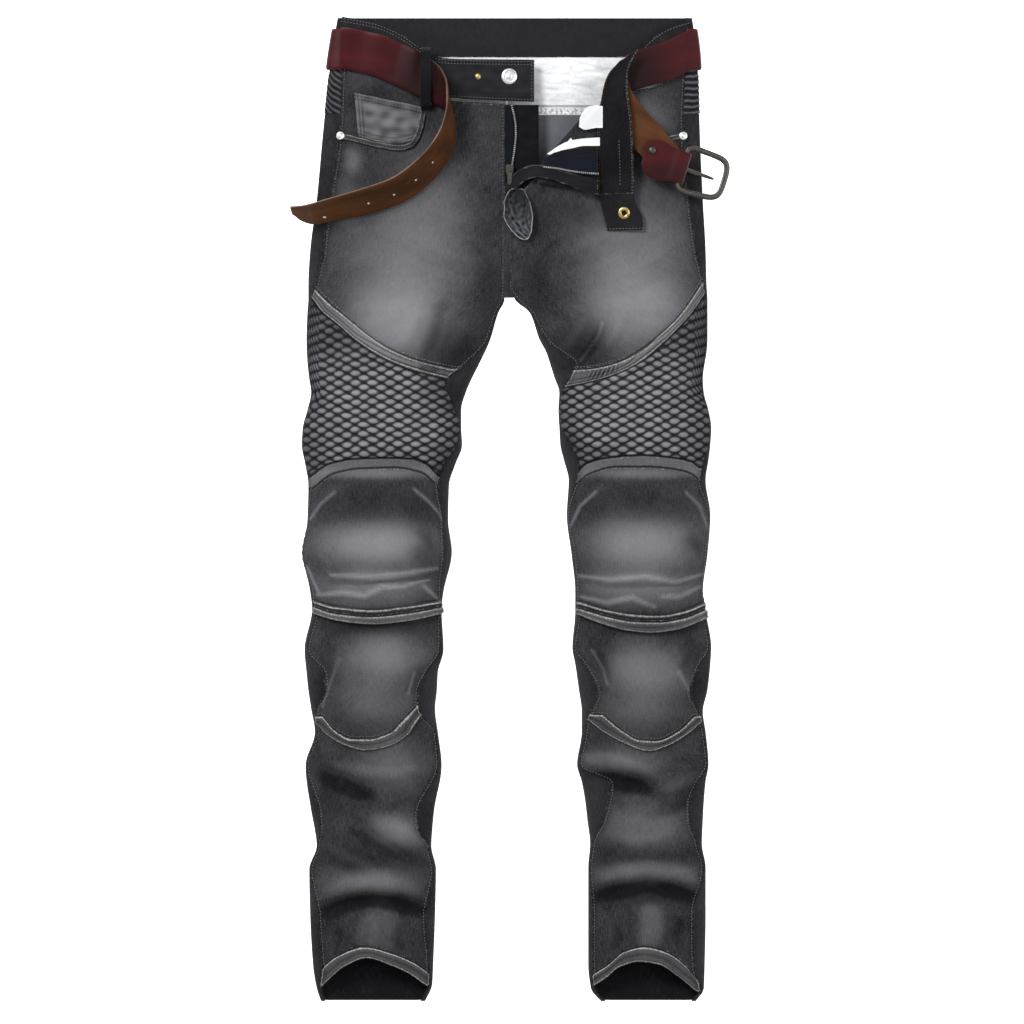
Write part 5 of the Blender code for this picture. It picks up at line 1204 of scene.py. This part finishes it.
# Painted shade darkens its upper part, below the turned front, and its strong patchy fading stands in for the
# light and shade of crumpled cloth.
free_sheet(
    "fly_curl_cloth", "fly_curl", place(x, down, deck_z(x, down) + 1.8 + table[:, 3:4] * (2 * s - 1) ** 4),
    [DENIM_IN, DENIM_OUT], "denim_faded", 1.3, fade=0.42, wear=0.9, patchy=0.7,
    crumple=lambda u, v: 0.8 * ripple(u / 1.3, v / 2.4, 41),
    dark=np.clip(1.5 - np.linspace(0, 2.2, 60), 0, 1)[:, None]
    * np.clip(np.linspace(0.6, 1.4, 40), 0, 1)[None, :])
free_sheet(
    "inner_label_cloth", "inner_label",
    strip_sheet(((80, 99, 4.2, 92, 99, 3.8), (75, 106, 3.2, 93.5, 106, 4.2), (72, 115, 3.6, 94.5, 114, 3.2),
                 (70, 124, 3.2, 95, 123, 3.8)), 30, 20),
    [POCKET_CLOTH], "pocket_cloth", 0.7, fade=0.3, wave=0.5)


def overlay(name, upper, lower, lift, material, slot, fade, wave=0.3, thickness=0.8):
    """A strip that lies on the opened front, between two lines of (x, down) points."""
    table = spread_rows([(*a, *b) for a, b in zip(upper, lower)], 70)
    s = np.linspace(0, 1, 14)[None, :]
    x = mix(table[:, 0:1], table[:, 2:3], s)
    down = mix(table[:, 1:2], table[:, 3:4], s)
    across_fold, down_fold = FOLD_END - FOLD_START
    fold_down = FOLD_START[1] + (x - FOLD_START[0]) * down_fold / across_fold
    t = np.clip((x - FOLD_START[0]) / across_fold, 0, 1)
    on_flap = mix(5.6, 11.0, t) + 1.6
    high = deck_z(x, down) + mix(2.0, on_flap, ease(down - fold_down, -14, 2)) + lift
    return free_sheet(name, None, place(x, down, high), [material], slot, thickness, fade=fade, wave=wave)


overlay("fly_edge_cloth", ((-10, 186), (0, 172), (10, 165), (22, 162), (42, 166), (64, 172), (90, 178)),
        ((-9, 197), (4, 186), (14, 178), (26, 175), (44, 179), (66, 187), (90, 194)), 2.2, DENIM_BLACK,
        "denim", 0.12, thickness=1.2)
SEWN["tape_left", 0] = overlay(
    "zip_tape_turned_cloth", ((30, 160), (44, 155), (60, 153), (76, 152), (90, 151)),
    ((34, 166), (48, 168), (62, 171), (78, 173), (90, 174)), 1.2, TAPE_CLOTH, "zip_tape", 0.35)
overlay("fly_lining_cloth", ((32, 156), (44, 149), (60, 145), (76, 143), (90, 142)),
        ((34, 164), (46, 158), (62, 156), (78, 155), (90, 154)), 0.8, SHIELD_CLOTH, "denim", 0.2)
overlay("pocket_edge_cloth", ((36, 150), (50, 141), (62, 136), (76, 134), (92, 133)),
        ((38, 151), (52, 148), (64, 144), (76, 142), (92, 142)), 0.6, POCKET_CLOTH, "pocket_cloth", 0.4,
        wave=0.6)
overlay("pocket_corner_cloth", ((71, 112), (75, 104), (81, 99.5), (88, 99), (95, 100)),
        ((70, 122), (76, 125), (83, 124), (89, 123), (95, 123)), 3.6, POCKET_CLOTH, "pocket_cloth", 0.15,
        wave=0.35)
print("opened front made")

# %% [markdown]
# Below the fly, the two fronts meet in a felled seam: a narrow strip of the same denim that laps over
# the edges of both.

# %% Centre front seam
rows = []
for d in np.linspace(184, 303, 24):
    ends = []
    for side, inward in (("right", -2.6), ("left", 2.6)):
        edge_points = SEWN["thigh", side]["points"][:, -1]
        order = np.argsort(plan_down(edge_points))
        sorted_down = plan_down(edge_points)[order]
        ends.append((np.interp(d, sorted_down, plan_x(edge_points)[order]) + inward,
                     np.interp(d, sorted_down, edge_points[order, 2]) + 0.7))
    rows.append((ends[0][0], d, ends[0][1], ends[1][0], d, ends[1][1]))
free_sheet("centre_seam_cloth", None, strip_sheet(rows, 90, 12), [DENIM_OUT], "denim", DENIM, fade=0.12,
           wave=0.1, wear=0.5, edge_width=0.7, dark=0.25)
print("centre seam made")

# %% [markdown]
# The back of the waistband and the belt run round behind the hips as rings that are open in front.
# Belt loops are narrow folded strips that hold the belt down.

# %% Waistband, belt and loops
WAIST_SHARES = np.concatenate([np.linspace(0, 0.36, 40), np.linspace(0.38, 0.9, 40)])


LIFT_SHARES = (0.0, 0.04, 0.08, 0.12, 0.165, 0.215, 0.36, 0.6, 0.9)


def waist_ring(downs, lifts):
    """Points round the back of the waist from the right side to the left, moved out by lifts."""
    halves = []
    for side in ("right", "left"):
        down, share = np.meshgrid(downs, WAIST_SHARES, indexing="ij")
        points = back_point(side, down, share)
        middle = place((measure(side, "outer", down) + CENTRE_X) / 2, down, side_height(down))
        lift = curve(list(zip(LIFT_SHARES, lifts)), share)
        halves.append(points + normals_of(points, points - middle) * lift[..., None])
    return np.concatenate([halves[0], halves[1][:, ::-1]], 1)


downs = np.linspace(3.0, 45.0, 26)
outer, inner = waist_ring(downs, (0.0,) * 9), waist_ring(downs, (-2.2,) * 9)
border = np.minimum(downs - downs[0], downs[-1] - downs)[:, None]
worn_rim = np.exp(-(border / 1.2) ** 2) * np.ones(outer.shape[:2])
sew("waistband_back_cloth", outer, inner, [DENIM_BLACK, DENIM_BLACK], "denim", ["waistband_back"], outer,
    {"fade": 0.25, "edge": worn_rim}, under_masks={"fade": 0.28, "edge": 0.5 * worn_rim})

BELT_WIDTH, BELT_THICK = 44.0, 3.2


def belt_masks(middle):
    """Worn edges, and painted shade where the belt goes under its loop or behind the turned front."""
    rows, cols = middle.shape[:2]
    s = np.linspace(0, 1, cols)[None, :] * BELT_WIDTH
    border = np.minimum(s, BELT_WIDTH - s)
    x, down = plan_x(middle), plan_down(middle)
    # Painted shade: soft dark patches where the belt is shaded by its loop and by the turned front.
    dim = patches_at(((-96, 66, 34, 40, 0.9), (128, 64, 40, 44, 0.9), (158, 170, 26, 12, 0.6)), x, down)
    return {"edge": 0.35 * np.exp(-(border / 1.0) ** 2) * np.ones((rows, 1)), "painted_shade": dim}


def belt_piece(name, node, middle, flip):
    """A stretch of belt: oxblood outside, tan inside, raw edges."""
    normal = np.cross(np.gradient(middle, axis=0), np.gradient(middle, axis=1))
    normal /= np.linalg.norm(normal, axis=-1, keepdims=True)
    normal = -normal if flip else normal
    rows, cols = middle.shape[:2]
    s = np.linspace(0, 1, cols)[None, :] * BELT_WIDTH
    crown = 1.0 - 0.55 * np.exp(-(np.minimum(s, BELT_WIDTH - s) / 1.1) ** 2)
    half = normal * (crown * BELT_THICK / 2 * np.ones((rows, 1)))[..., None]
    sew(name, middle + half, middle - half, [LEATHER_OUT, LEATHER_IN, LEATHER_EDGE], "belt_leather",
        [node], middle, belt_masks(middle))


ring_rows = waist_ring(np.linspace(15.5, 59, 24), (3.8, 3.6, 3.0, 2.6, 2.2, 2.0, 2.0, 2.0, 2.0))
belt_piece("belt_back_leather", "belt_back", np.swapaxes(ring_rows, 0, 1), False)

# x and down of both edges, and how high the lower one lies
FREE_END_ROWS = (
    (-184.2, 15.2, -186.2, 58.2, 3.8), (-179, 15.5, -181, 58.5, 3.8), (-161, 18.5, -165, 62, 3.8),
    (-143, 23, -149, 66, 3.8), (-122, 31, -131, 74, 3.8),
    (-106, 39, -114, 82, 3.8), (-94, 46.5, -99, 90, 3.9),
    (-85, 52.5, -89, 95, 4.6), (-76, 63, -77, 100, 4.0), (-71, 78, -69, 105, 2.4),
    (-70.5, 98, -63, 115, 2.2), (-75, 120, -61.5, 133, 2.2), (-87, 142, -68, 153, 2.2),
    (-105, 161, -84, 175, 2.4), (-131, 179, -112, 198, 2.4), (-161, 189.5, -149, 212, 2.4),
    (-195, 199.5, -188, 220, 2.4), (-222, 206.5, -216, 225, 2.4), (-237.5, 208.4, -233, 227, 2.4))
# x, down and height of both edges
BUCKLE_END_ROWS = (
    (187.2, 17.0, 16.6, 188.6, 60, 16.8), (178, 21, 18.6, 181, 64, 18.8),
    (165, 28, 20.8, 169, 70, 21.0), (145, 35, 22.8, 146, 77, 22.8),
    (127, 41, 24.0, 126, 83, 24.0), (122, 44, 24.6, 117, 87, 24.6), (119.5, 50, 28.2, 113, 92, 28.2),
    (120, 60, 31.8, 114, 103, 31.8), (124, 79, 32.6, 120, 121, 32.6), (138, 101, 31.6, 129, 144, 31.6),
    (155, 119, 29.2, 145, 160, 29.2), (171, 138, 26.8, 161, 174, 26.8))
table = spread_rows(FREE_END_ROWS, 160)
s = np.linspace(0, 1, 24)[None, :]
ax, ad, bx, bd, lift = (table[:, k:k + 1] for k in range(5))
flat_run = np.hypot(ax - bx, ad - bd)
rise = np.sqrt(np.maximum(0.0, BELT_WIDTH ** 2 - flat_run ** 2))
foot = deck_z(bx, bd) + lift
head = np.where(rise < 12, np.maximum(foot, deck_z(ax, ad) + lift), foot)
x, down = mix(ax, bx, s), mix(ad, bd, s)
z = mix(head + rise, foot, s)
z = np.where(rise < 12, np.maximum(z, deck_z(x, down) + lift), z)
free_rows = place(x, down, z)
to_tip = np.linalg.norm(free_rows[:, 12] - free_rows[-1, 12], axis=-1)
narrower = np.sqrt(np.clip(1 - (1 - to_tip / 26) ** 2, 0.1, 1)) * (to_tip < 26) + (to_tip >= 26)
free_rows = free_rows[:, :1] + (free_rows - free_rows[:, :1]) * narrower[:, None, None]
belt_piece("belt_free_leather", "belt_free_end", free_rows, True)

BAR = (180.0, 165.0, 30.0)
BAR_ALONG = (-0.287, 0.957)
BAR_OUT = (0.957, 0.287)


def bar_point(out, along, up):
    """A point about the middle of the buckle's bar."""
    out, along, up = np.broadcast_arrays(np.asarray(out, float), along, up)
    return place(BAR[0] + BAR_OUT[0] * out + BAR_ALONG[0] * along,
                 BAR[1] + BAR_OUT[1] * out + BAR_ALONG[1] * along, BAR[2] + up)


def smooth_grid(rows, count):
    """More rows between rows of points, on smooth curves."""
    grid = np.array(rows)
    run = np.concatenate([[0], np.cumsum(np.linalg.norm(np.diff(grid, axis=0), axis=-1).mean(1))])
    t = np.linspace(0, run[-1], count)
    flat_rows = grid.reshape(len(rows), -1)
    return np.stack([curve(np.stack([run, flat_rows[:, k]], 1), t) for k in range(flat_rows.shape[1])],
                    1).reshape(count, grid.shape[1], 3)


across = np.linspace(0, 1, 24)
rows = [place(*[mix(row[k], row[k + 3], across) for k in range(3)]) for row in BUCKLE_END_ROWS]
WRAP = 4.4
rows.append(bar_point(-4.0, mix(-17.0, 17.0, across), -WRAP))
for k in range(9):
    angle = math.pi * k / 8
    rows.append(bar_point(WRAP * math.sin(angle), mix(-17.0, 17.0, across), -WRAP * math.cos(angle)))
for out, up, half, shift in ((-6.0, 4.4, 17.0, 0.0), (-14.0, 3.6, 18.5, 0.5), (-27.0, 4.4, 21.0, 0.0),
                             (-37.0, 5.6, 19.0, -1.0), (-43.0, 6.2, 11.0, -1.5)):
    rows.append(bar_point(out, shift + mix(-half, half, across), up))
belt_piece("belt_buckle_leather", "belt_buckle_end", smooth_grid(rows, 160), False)

# x, down and radius of the holes near the belt's tip, through which the pale ground shows
HOLES = ((-87, 159, 1.1), (-105, 179, 1.2), (-128, 193, 1.2), (-155, 202, 1.2), (-202, 216, 1.7))
belt_normals = normals_of(free_rows, UP)
hole_shape = bmesh.new()
for hole_x, hole_down, radius in HOLES:
    plan = np.hypot(plan_x(free_rows) - hole_x, plan_down(free_rows) - hole_down)
    k = np.unravel_index(np.argmin(plan), plan.shape)
    spot, facing = free_rows[k], belt_normals[k] * np.sign(belt_normals[k][2])
    turn = Vector(facing).to_track_quat("Z", "Y").to_matrix().to_4x4()
    turn.translation = Vector((spot + facing * (BELT_THICK / 2 + 0.06)) * MM)
    bmesh.ops.create_cone(hole_shape, cap_ends=True, segments=16, radius1=radius * MM, radius2=radius * MM,
                          depth=0.2 * MM, matrix=turn)
data = bpy.data.meshes.new("belt_holes")
hole_shape.to_mesh(data)
hole_shape.free()
holes = new_object("belt_holes", data)
data.materials.append(POCKET_CLOTH)
attach(holes, "root", "belt_leather")


def loop_strip(name, node, rows, fade=0.3, dark=0.0, wear=0.45):
    """A narrow folded strip that holds the belt down."""
    free_sheet(name, node, strip_sheet(rows, 60, 14), [DENIM_BLACK], "denim", 1.4, fade=fade, wave=0.15,
               dark=dark, wear=wear)


for name, x in (("centre", CENTRE_X), ("back_right", -112.0), ("back_left", 100.0)):
    loop_strip(f"belt_loop_{name}_cloth", f"belt_loop_{name}",
               [(x - 6, d, z, x + 6, d, z) for d, z in ((7.5, 4.2), (8.2, 0.9), (22, 0.75), (50, 0.75),
                                                        (65.2, 0.9), (66, 4.2))])
rows = []
for down, lift in ((36, 2.5), (38, 12), (42, 19), (60, 18.5), (78, 15), (92, 11), (99, 8.5), (101, 2.0)):
    rows.append((-99, down, float(deck_z(-99, down)) + lift, -88, down, float(deck_z(-88, down)) + lift))
# Painted shade deepens along the front loop from its top end down.
loop_strip("belt_loop_front_cloth", "belt_loop_front", rows, 0.1, np.linspace(0.2, 1.0, 60)[:, None], 0.12)
print("belt and loops made")

# %% [markdown]
# Small metal pieces are turned about an axis or swept along a path: the buckle's frame, its prong,
# the button, the stud, the rivets and the eyelet. The zip's slider and its pull keep their solids,
# which are given gunmetal.

# %% Metal pieces
def turned_piece(name, node, centre, axis, profile, material, slot, segments=40):
    """A round piece from (radius, height) points."""
    axis = np.array(axis, float) / np.linalg.norm(axis)
    side_a = np.cross(axis, (0.0, 1.0, 0.0))
    side_a /= np.linalg.norm(side_a)
    side_b = np.cross(axis, side_a)
    shape = bmesh.new()
    rings = []
    for radius, height in profile:
        count = 1 if radius == 0 else segments
        ring = []
        for k in range(count):
            angle = 2 * math.pi * k / segments
            spot = centre + axis * height + (side_a * math.cos(angle) + side_b * math.sin(angle)) * radius
            ring.append(shape.verts.new(tuple(spot * MM)))
        rings.append(ring)
    pairs = list(zip(rings, rings[1:])) + ([(rings[-1], rings[0])] if profile[0][0] > 0 else [])
    for low, high in pairs:
        for k in range(segments):
            n = (k + 1) % segments
            corners = [low[k % len(low)], low[n % len(low)], high[n % len(high)], high[k % len(high)]]
            shape.faces.new(list(dict.fromkeys(corners)))
    bmesh.ops.recalc_face_normals(shape, faces=shape.faces)
    data = bpy.data.meshes.new(name)
    shape.to_mesh(data)
    shape.free()
    shade(data)
    data.materials.append(material)
    attach(new_object(name, data), "root", slot, node)


def on_deck(x, down, lift):
    return deck_point(x, down).reshape(3) + np.array((0, 0, lift))


turned_piece("button_metal", "button", on_deck(-4.5, 67, 2.0), (0, 0, 1),
             ((0, 0), (7.6, 0), (8.5, 0.5), (8.6, 1.3), (8.0, 2.1), (7.0, 2.3), (6.5, 1.7), (5.8, 1.5),
              (3.0, 1.7), (1.6, 2.2), (0, 2.3)), WHITE_METAL, "white_metal")
turned_piece("waistband_stud_metal", "waistband_stud", on_deck(-38, 67, 2.0), (0, 0, 1),
             ((0, 0), (2.9, 0), (3.2, 0.5), (2.4, 1.2), (1.2, 1.5), (0, 1.5)), BRASS, "brass", 24)
RIVETS = {"upper_right": (-91.5, 94.5, 0.9), "lower_right": (-185, 130, 3.9), "lower_left": (181.5, 130, 2.5)}
for name, (x, down, lift) in RIVETS.items():
    turned_piece(f"pocket_rivet_{name}_metal", f"pocket_rivet_{name}", on_deck(x, down, lift), (0, 0, 1),
                 ((0, 0), (4.1, 0), (4.4, 0.4), (3.9, 1.0), (2.6, 1.1), (2.2, 0.9), (1.5, 1.3), (0, 1.5)),
                 WHITE_METAL, "white_metal", 28)
turned_piece("tab_eyelet_metal", "tab_eyelet", place(118.0, 213.0, 26.2).reshape(3), (-0.02, -0.11, 1),
             ((2.6, 0.3), (6.2, 0.3), (6.3, 0.7), (5.4, 1.4), (4.2, 1.7), (3.0, 1.4), (2.6, 0.9)),
             BRASS, "brass")
turned_piece("belt_rivet_metal", "belt_rivet", bar_point(-36.0, -8.0, 7.6).reshape(3), (0, 0, 1),
             ((0, 0), (3.5, 0), (3.9, 0.5), (3.2, 1.3), (1.6, 1.5), (0, 1.6)), GUNMETAL, "gunmetal", 24)


def tube_object(name, stations, closed, material, slot, body, node):
    """A body through matching rings of points."""
    stations = np.array(stations)
    count, around = stations.shape[:2]
    index = np.arange(count * around).reshape(count, around)
    if closed:
        index = np.vstack([index, index[:1]])
    index = np.hstack([index, index[:, :1]])
    quads = grid_faces(index).tolist()
    if not closed:
        quads += [index[0, :-1][::-1].tolist(), index[-1, :-1].tolist()]
    data = bpy.data.meshes.new(name)
    data.from_pydata((stations.reshape(-1, 3) * MM).tolist(), [], quads)
    shade(data)
    data.materials.append(material)
    thing = new_object(name, data)
    outward(thing)
    attach(thing, body, slot, node)


def squared(wave, power):
    """A sine or cosine with fuller flanks, which squares off a round section."""
    return np.sign(wave) * np.abs(wave) ** power


# out from the bar, along it, half the thickness
FRAME_HALF = ((0, 0, 2.1), (0, 12, 2.1), (0, 19, 2.3), (3, 22.6, 2.8), (9, 23.6, 3.1), (23, 23, 3.1),
              (37, 21.6, 3.2), (43.5, 18.6, 3.2), (46.6, 12.5, 3.2), (47.4, 4, 3.2))
path = list(FRAME_HALF) + [(u, -v, w) for u, v, w in reversed(FRAME_HALF) if v > 0]
FRAME_DROP, PRONG_DROP = 7.0, 31.0
drop = math.radians(FRAME_DROP)
closed_path = np.array(path + path[:1], float)
run = np.concatenate([[0], np.cumsum(np.linalg.norm(np.diff(closed_path[:, :2], axis=0), axis=-1))])
t = np.linspace(0, run[-1], 97)[:-1]
fine = np.stack([curve(np.stack([run, closed_path[:, k]], 1), t) for k in range(3)], 1)
stations = []
for k in range(len(fine)):
    tangent = fine[(k + 1) % len(fine)][:2] - fine[k - 1][:2]
    tangent /= np.linalg.norm(tangent)
    angle = np.linspace(0, 2 * math.pi, 17)[:-1]
    wide = squared(np.cos(angle), 0.8)
    u = fine[k, 0] + tangent[1] * fine[k, 2] * wide
    v = fine[k, 1] - tangent[0] * fine[k, 2] * wide
    w = (2.0 if fine[k, 0] < 1 else 1.8) * squared(np.sin(angle), 0.8)
    stations.append(bar_point(u * math.cos(drop) + w * math.sin(drop), v,
                              w * math.cos(drop) - u * math.sin(drop)))
tube_object("buckle_frame_metal", stations, True, GUNMETAL, "gunmetal", "buckle_frame", "buckle_frame")

fall = math.radians(PRONG_DROP)
ahead, below = np.array((math.cos(fall), -math.sin(fall))), np.array((-math.sin(fall), -math.cos(fall)))
spine = []
for degrees in np.linspace(250, 0, 18):
    angle = math.radians(degrees)
    spot = 3.3 * (below * math.cos(angle) - ahead * math.sin(angle))
    spine.append((spot[0], spot[1], 2.4))
for reach, width in ((5, 2.4), (10, 2.3), (18, 2.15), (26, 2.0), (32, 1.85), (38, 1.7), (42, 1.4),
                     (44, 1.0)):
    spot = 3.3 * below + ahead * reach
    spine.append((spot[0], spot[1], width))
spine = np.array(spine)
stations = []
for k in range(len(spine)):
    tangent = spine[min(k + 1, len(spine) - 1)][:2] - spine[max(k - 1, 0)][:2]
    tangent /= np.linalg.norm(tangent)
    angle = np.linspace(0, 2 * math.pi, 13)[:-1]
    high = 0.65 * squared(np.sin(angle), 0.7)
    wide = spine[k, 2] * squared(np.cos(angle), 0.7)
    stations.append(bar_point(spine[k, 0] - tangent[1] * high, wide, spine[k, 1] + tangent[0] * high))
tube_object("buckle_prong_metal", stations, False, GUNMETAL, "gunmetal", "buckle_prong", "buckle_prong")

for node in ("zip_slider", "zip_pull"):
    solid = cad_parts[node]
    for k in range(len(solid.material_slots)):
        solid.material_slots[k].material = GUNMETAL
print("metal pieces made")

# %% [markdown]
# Thousands of stitches are one small shape repeated along lines. The lines are read from the
# finished pieces at a set distance from their edges, and a node tree puts a stitch at each step.

# %% Stitching with Geometry Nodes
def node_tree(name, inputs):
    """An empty geometry tree with named inputs (name: kind, value)."""
    tree = bpy.data.node_groups.new(name, "GeometryNodeTree")
    tree.interface.new_socket("Geometry", in_out="INPUT", socket_type="NodeSocketGeometry")
    for label, (kind, value) in inputs.items():
        socket = tree.interface.new_socket(label, in_out="INPUT", socket_type=kind)
        if value is not None:
            socket.default_value = value
    tree.interface.new_socket("Geometry", in_out="OUTPUT", socket_type="NodeSocketGeometry")
    return tree, tree.nodes.new("NodeGroupInput").outputs, tree.nodes.new("NodeGroupOutput").inputs


STITCHES, ask, give = node_tree("stitch_rows", {
    "Pitch": ("NodeSocketFloat", 0.0034), "Length": ("NodeSocketFloat", 0.0026),
    "Thickness": ("NodeSocketFloat", 0.0006), "Thread": ("NodeSocketMaterial", None)})
rows_in = add_node(STITCHES, "GeometryNodeMeshToCurve", {"Mesh": ask["Geometry"]})
even = add_node(STITCHES, "GeometryNodeResampleCurve", {"Curve": rows_in.outputs[0], "Length": ask["Pitch"]},
                mode="LENGTH")
heading = add_node(STITCHES, "GeometryNodeInputTangent")
facing = add_node(STITCHES, "FunctionNodeAlignRotationToVector", {"Vector": heading.outputs[0]}, axis="X")
seed_shape = add_node(STITCHES, "GeometryNodeMeshUVSphere", {"Segments": 5, "Rings": 3, "Radius": 0.5})
size = add_node(STITCHES, "ShaderNodeCombineXYZ", {0: ask["Length"], 1: ask["Thickness"],
                                                   2: ask["Thickness"]})
sized = add_node(STITCHES, "GeometryNodeTransform", {"Geometry": seed_shape.outputs[0],
                                                     "Scale": size.outputs[0]})
placed = add_node(STITCHES, "GeometryNodeInstanceOnPoints", {
    "Points": even.outputs[0], "Instance": sized.outputs[0], "Rotation": facing.outputs[0]})
real = add_node(STITCHES, "GeometryNodeRealizeInstances", {"Geometry": placed.outputs[0]})
dyed = add_node(STITCHES, "GeometryNodeSetMaterial", {"Geometry": real.outputs[0], "Material": ask["Thread"]})
STITCHES.links.new(dyed.outputs[0], give["Geometry"])


def run_nodes(name, source, values, slot):
    """Run the stitch tree on an object and keep its result as a plain mesh."""
    modifier = source.modifiers.new("nodes", "NODES")
    modifier.node_group = STITCHES
    for item in STITCHES.interface.items_tree:
        if item.in_out == "INPUT" and item.name in values:
            modifier[item.identifier] = values[item.name]
    bpy.context.view_layer.update()
    done = bpy.data.meshes.new_from_object(source.evaluated_get(bpy.context.evaluated_depsgraph_get()))
    done.name = name
    if not done.materials:
        done.materials.append(values["Thread"])
    done.shade_smooth()
    bpy.data.objects.remove(source, do_unlink=True)
    attach(new_object(name, done), "root", slot)
    print(name, "faces", len(done.polygons))


def wire_object(name, lines):
    """Polylines as one object of edges, in metres."""
    points, edges = [], []
    for line in lines:
        start = len(points)
        points += (np.asarray(line) * MM).tolist()
        edges += [(start + k, start + k + 1) for k in range(len(line) - 1)]
    data = bpy.data.meshes.new(name)
    data.from_pydata(points, edges, [])
    return new_object(name, data)


def row_line(piece, distance, low=False, lift=0.15):
    """The line on a piece at a distance from its first or last row."""
    points, normals = piece["points"], piece["normals"]
    if low:
        points, normals = points[::-1], normals[::-1]
    run = run_along(points, 0)
    line = []
    for j in range(points.shape[1]):
        spot = [np.interp(distance, run[:, j], points[:, j, k]) for k in range(3)]
        way = [np.interp(distance, run[:, j], normals[:, j, k]) for k in range(3)]
        line.append(np.array(spot) + np.array(way) * lift)
    return np.array(line)


def column_line(piece, distance, last=False, lift=0.15):
    """The line on a piece at a distance from its first or last column."""
    turned_grid = {key: np.swapaxes(grid, 0, 1) for key, grid in piece.items()}
    return row_line(turned_grid, distance, last, lift)


lines = []
for side in ("right", "left"):
    lines += [row_line(SEWN["thigh_band", side], 2.0), row_line(SEWN["thigh_band", side], 2.0, True),
              row_line(SEWN["knee_band", side], 2.0), row_line(SEWN["knee_band", side], 2.0, True),
              row_line(SEWN["knee_hem", side], 2.0), row_line(SEWN["knee_hem", side], 2.0, True),
              row_line(SEWN["rim", side], 2.0), row_line(SEWN["rim", side], 2.0, True),
              row_line(SEWN["hem", side], 2.2), row_line(SEWN["hem", side], 2.0, True),
              row_line(SEWN["shin", side], 4.0, True), row_line(SEWN["thigh", side], 3.0, True),
              column_line(SEWN["pocket", side], 1.4), column_line(SEWN["pocket", side], 1.4, True)]
    for piece in ("thigh", "knee", "shin", "lower"):
        lines += [column_line(SEWN[piece, side], 2.4), column_line(SEWN[piece, side], 2.4, True)]
lines += [column_line(SEWN["band_right", 0], 2.2), column_line(SEWN["band_right", 0], 5.4),
          column_line(SEWN["band_right", 0], 2.2, True), row_line(SEWN["band_right", 0], 2.4, True),
          column_line(SEWN["band_left", 0], 2.2),
          row_line(SEWN["coin", 0], 1.8), row_line(SEWN["coin", 0], 5.4), column_line(SEWN["coin", 0], 1.6),
          column_line(SEWN["coin", 0], 5.0), row_line(SEWN["tab", 0], 2.0, True),
          column_line(SEWN["flap_band", 0], 1.4), column_line(SEWN["flap_band", 0], 14.5)[76:112]]
STITCH = {"Pitch": 0.0034, "Length": 0.0027, "Thickness": 0.00075, "Thread": THREAD}
run_nodes("grey_stitches", wire_object("grey_rows", lines), STITCH, "denim_faded")
brown = [column_line(SEWN["flap_band", 0], 1.8, True)]
run_nodes("brown_stitches", wire_object("brown_rows", brown), {**STITCH, "Thread": BROWN_THREAD},
          "denim_faded")

# %% [markdown]
# The zip's teeth are small beads along the tape, held by the same kind of tree.

# %% Zip teeth
zip_path = [deck_point(x, d).reshape(3) + np.array((0, 0, 1.0))
            for x, d in ((-2.0, 98), (0.6, 108), (2.2, 118), (2.6, 130), (1.2, 144), (-0.6, 156),
                         (-2.0, 163))]
left_teeth = column_line(SEWN["tape_left", 0], 2.0, True, lift=0.8)
BEADS = {"Pitch": 0.0022, "Length": 0.0014, "Thickness": 0.0028, "Thread": TEETH}
run_nodes("zip_teeth_right", wire_object("zip_row", [np.array(zip_path)]), BEADS, "gunmetal")
run_nodes("zip_teeth_left", wire_object("zip_row_left", [left_teeth]), BEADS, "gunmetal")

# %% [markdown]

# %% [markdown]
# The photograph looks straight down. A long lens from far up keeps the sides upright, over a plain
# pale floor, with one large soft light from the upper left and a weaker one from the right.

# %% Floor, light and camera
shape = bmesh.new()
bmesh.ops.create_grid(shape, x_segments=1, y_segments=1, size=3.0)
data = bpy.data.meshes.new("pale_floor")
shape.to_mesh(data)
shape.free()
floor = new_object("pale_floor", data)
floor.location = (0.0, 0.0, -0.0004)
WHITE = (1.0, 1.0, 1.0, 1.0)
floor_material, tree, shader = new_material("pale_floor")
shader.inputs["Base Color"].default_value = WHITE
shader.inputs["Roughness"].default_value = 1.0
shader.inputs["Emission Color"].default_value = WHITE
shader.inputs["Emission Strength"].default_value = 0.97
floor.data.materials.append(floor_material)


def soft_light(name, spot, size, power):
    """A round soft lamp that faces the middle of the trousers."""
    data = bpy.data.lights.new(name, "AREA")
    data.shape = "DISK"
    data.size = size
    data.energy = power
    lamp = new_object(name, data)
    lamp.location = spot
    inward = -np.array(spot) / np.linalg.norm(spot)
    lamp.rotation_euler = Vector(inward).to_track_quat("-Z", "Y").to_euler()


soft_light("key_light", (-1.3, 1.6, 2.2), 1.0, 75.0)
soft_light("fill_light", (1.8, 0.4, 2.0), 1.6, 24.0)
world = bpy.data.worlds.new("soft_room")
world.use_nodes = True
world.node_tree.nodes["Background"].inputs["Color"].default_value = WHITE
world.node_tree.nodes["Background"].inputs["Strength"].default_value = 0.55
bpy.context.scene.world = world
bpy.context.scene.view_settings.view_transform = "Standard"

CAMERA_HEIGHT = 5.0
PHOTO_WIDTH = 1.0957
camera = new_object("camera", bpy.data.cameras.new("camera"))
camera.data.sensor_width = 36.0
camera.data.lens = 36.0 * (CAMERA_HEIGHT - 0.015) / PHOTO_WIDTH
camera.location = (0.0011, -0.0031, CAMERA_HEIGHT)
camera.data.clip_end = 50.0
bpy.context.scene.camera = camera
print("camera lens", round(camera.data.lens, 1))
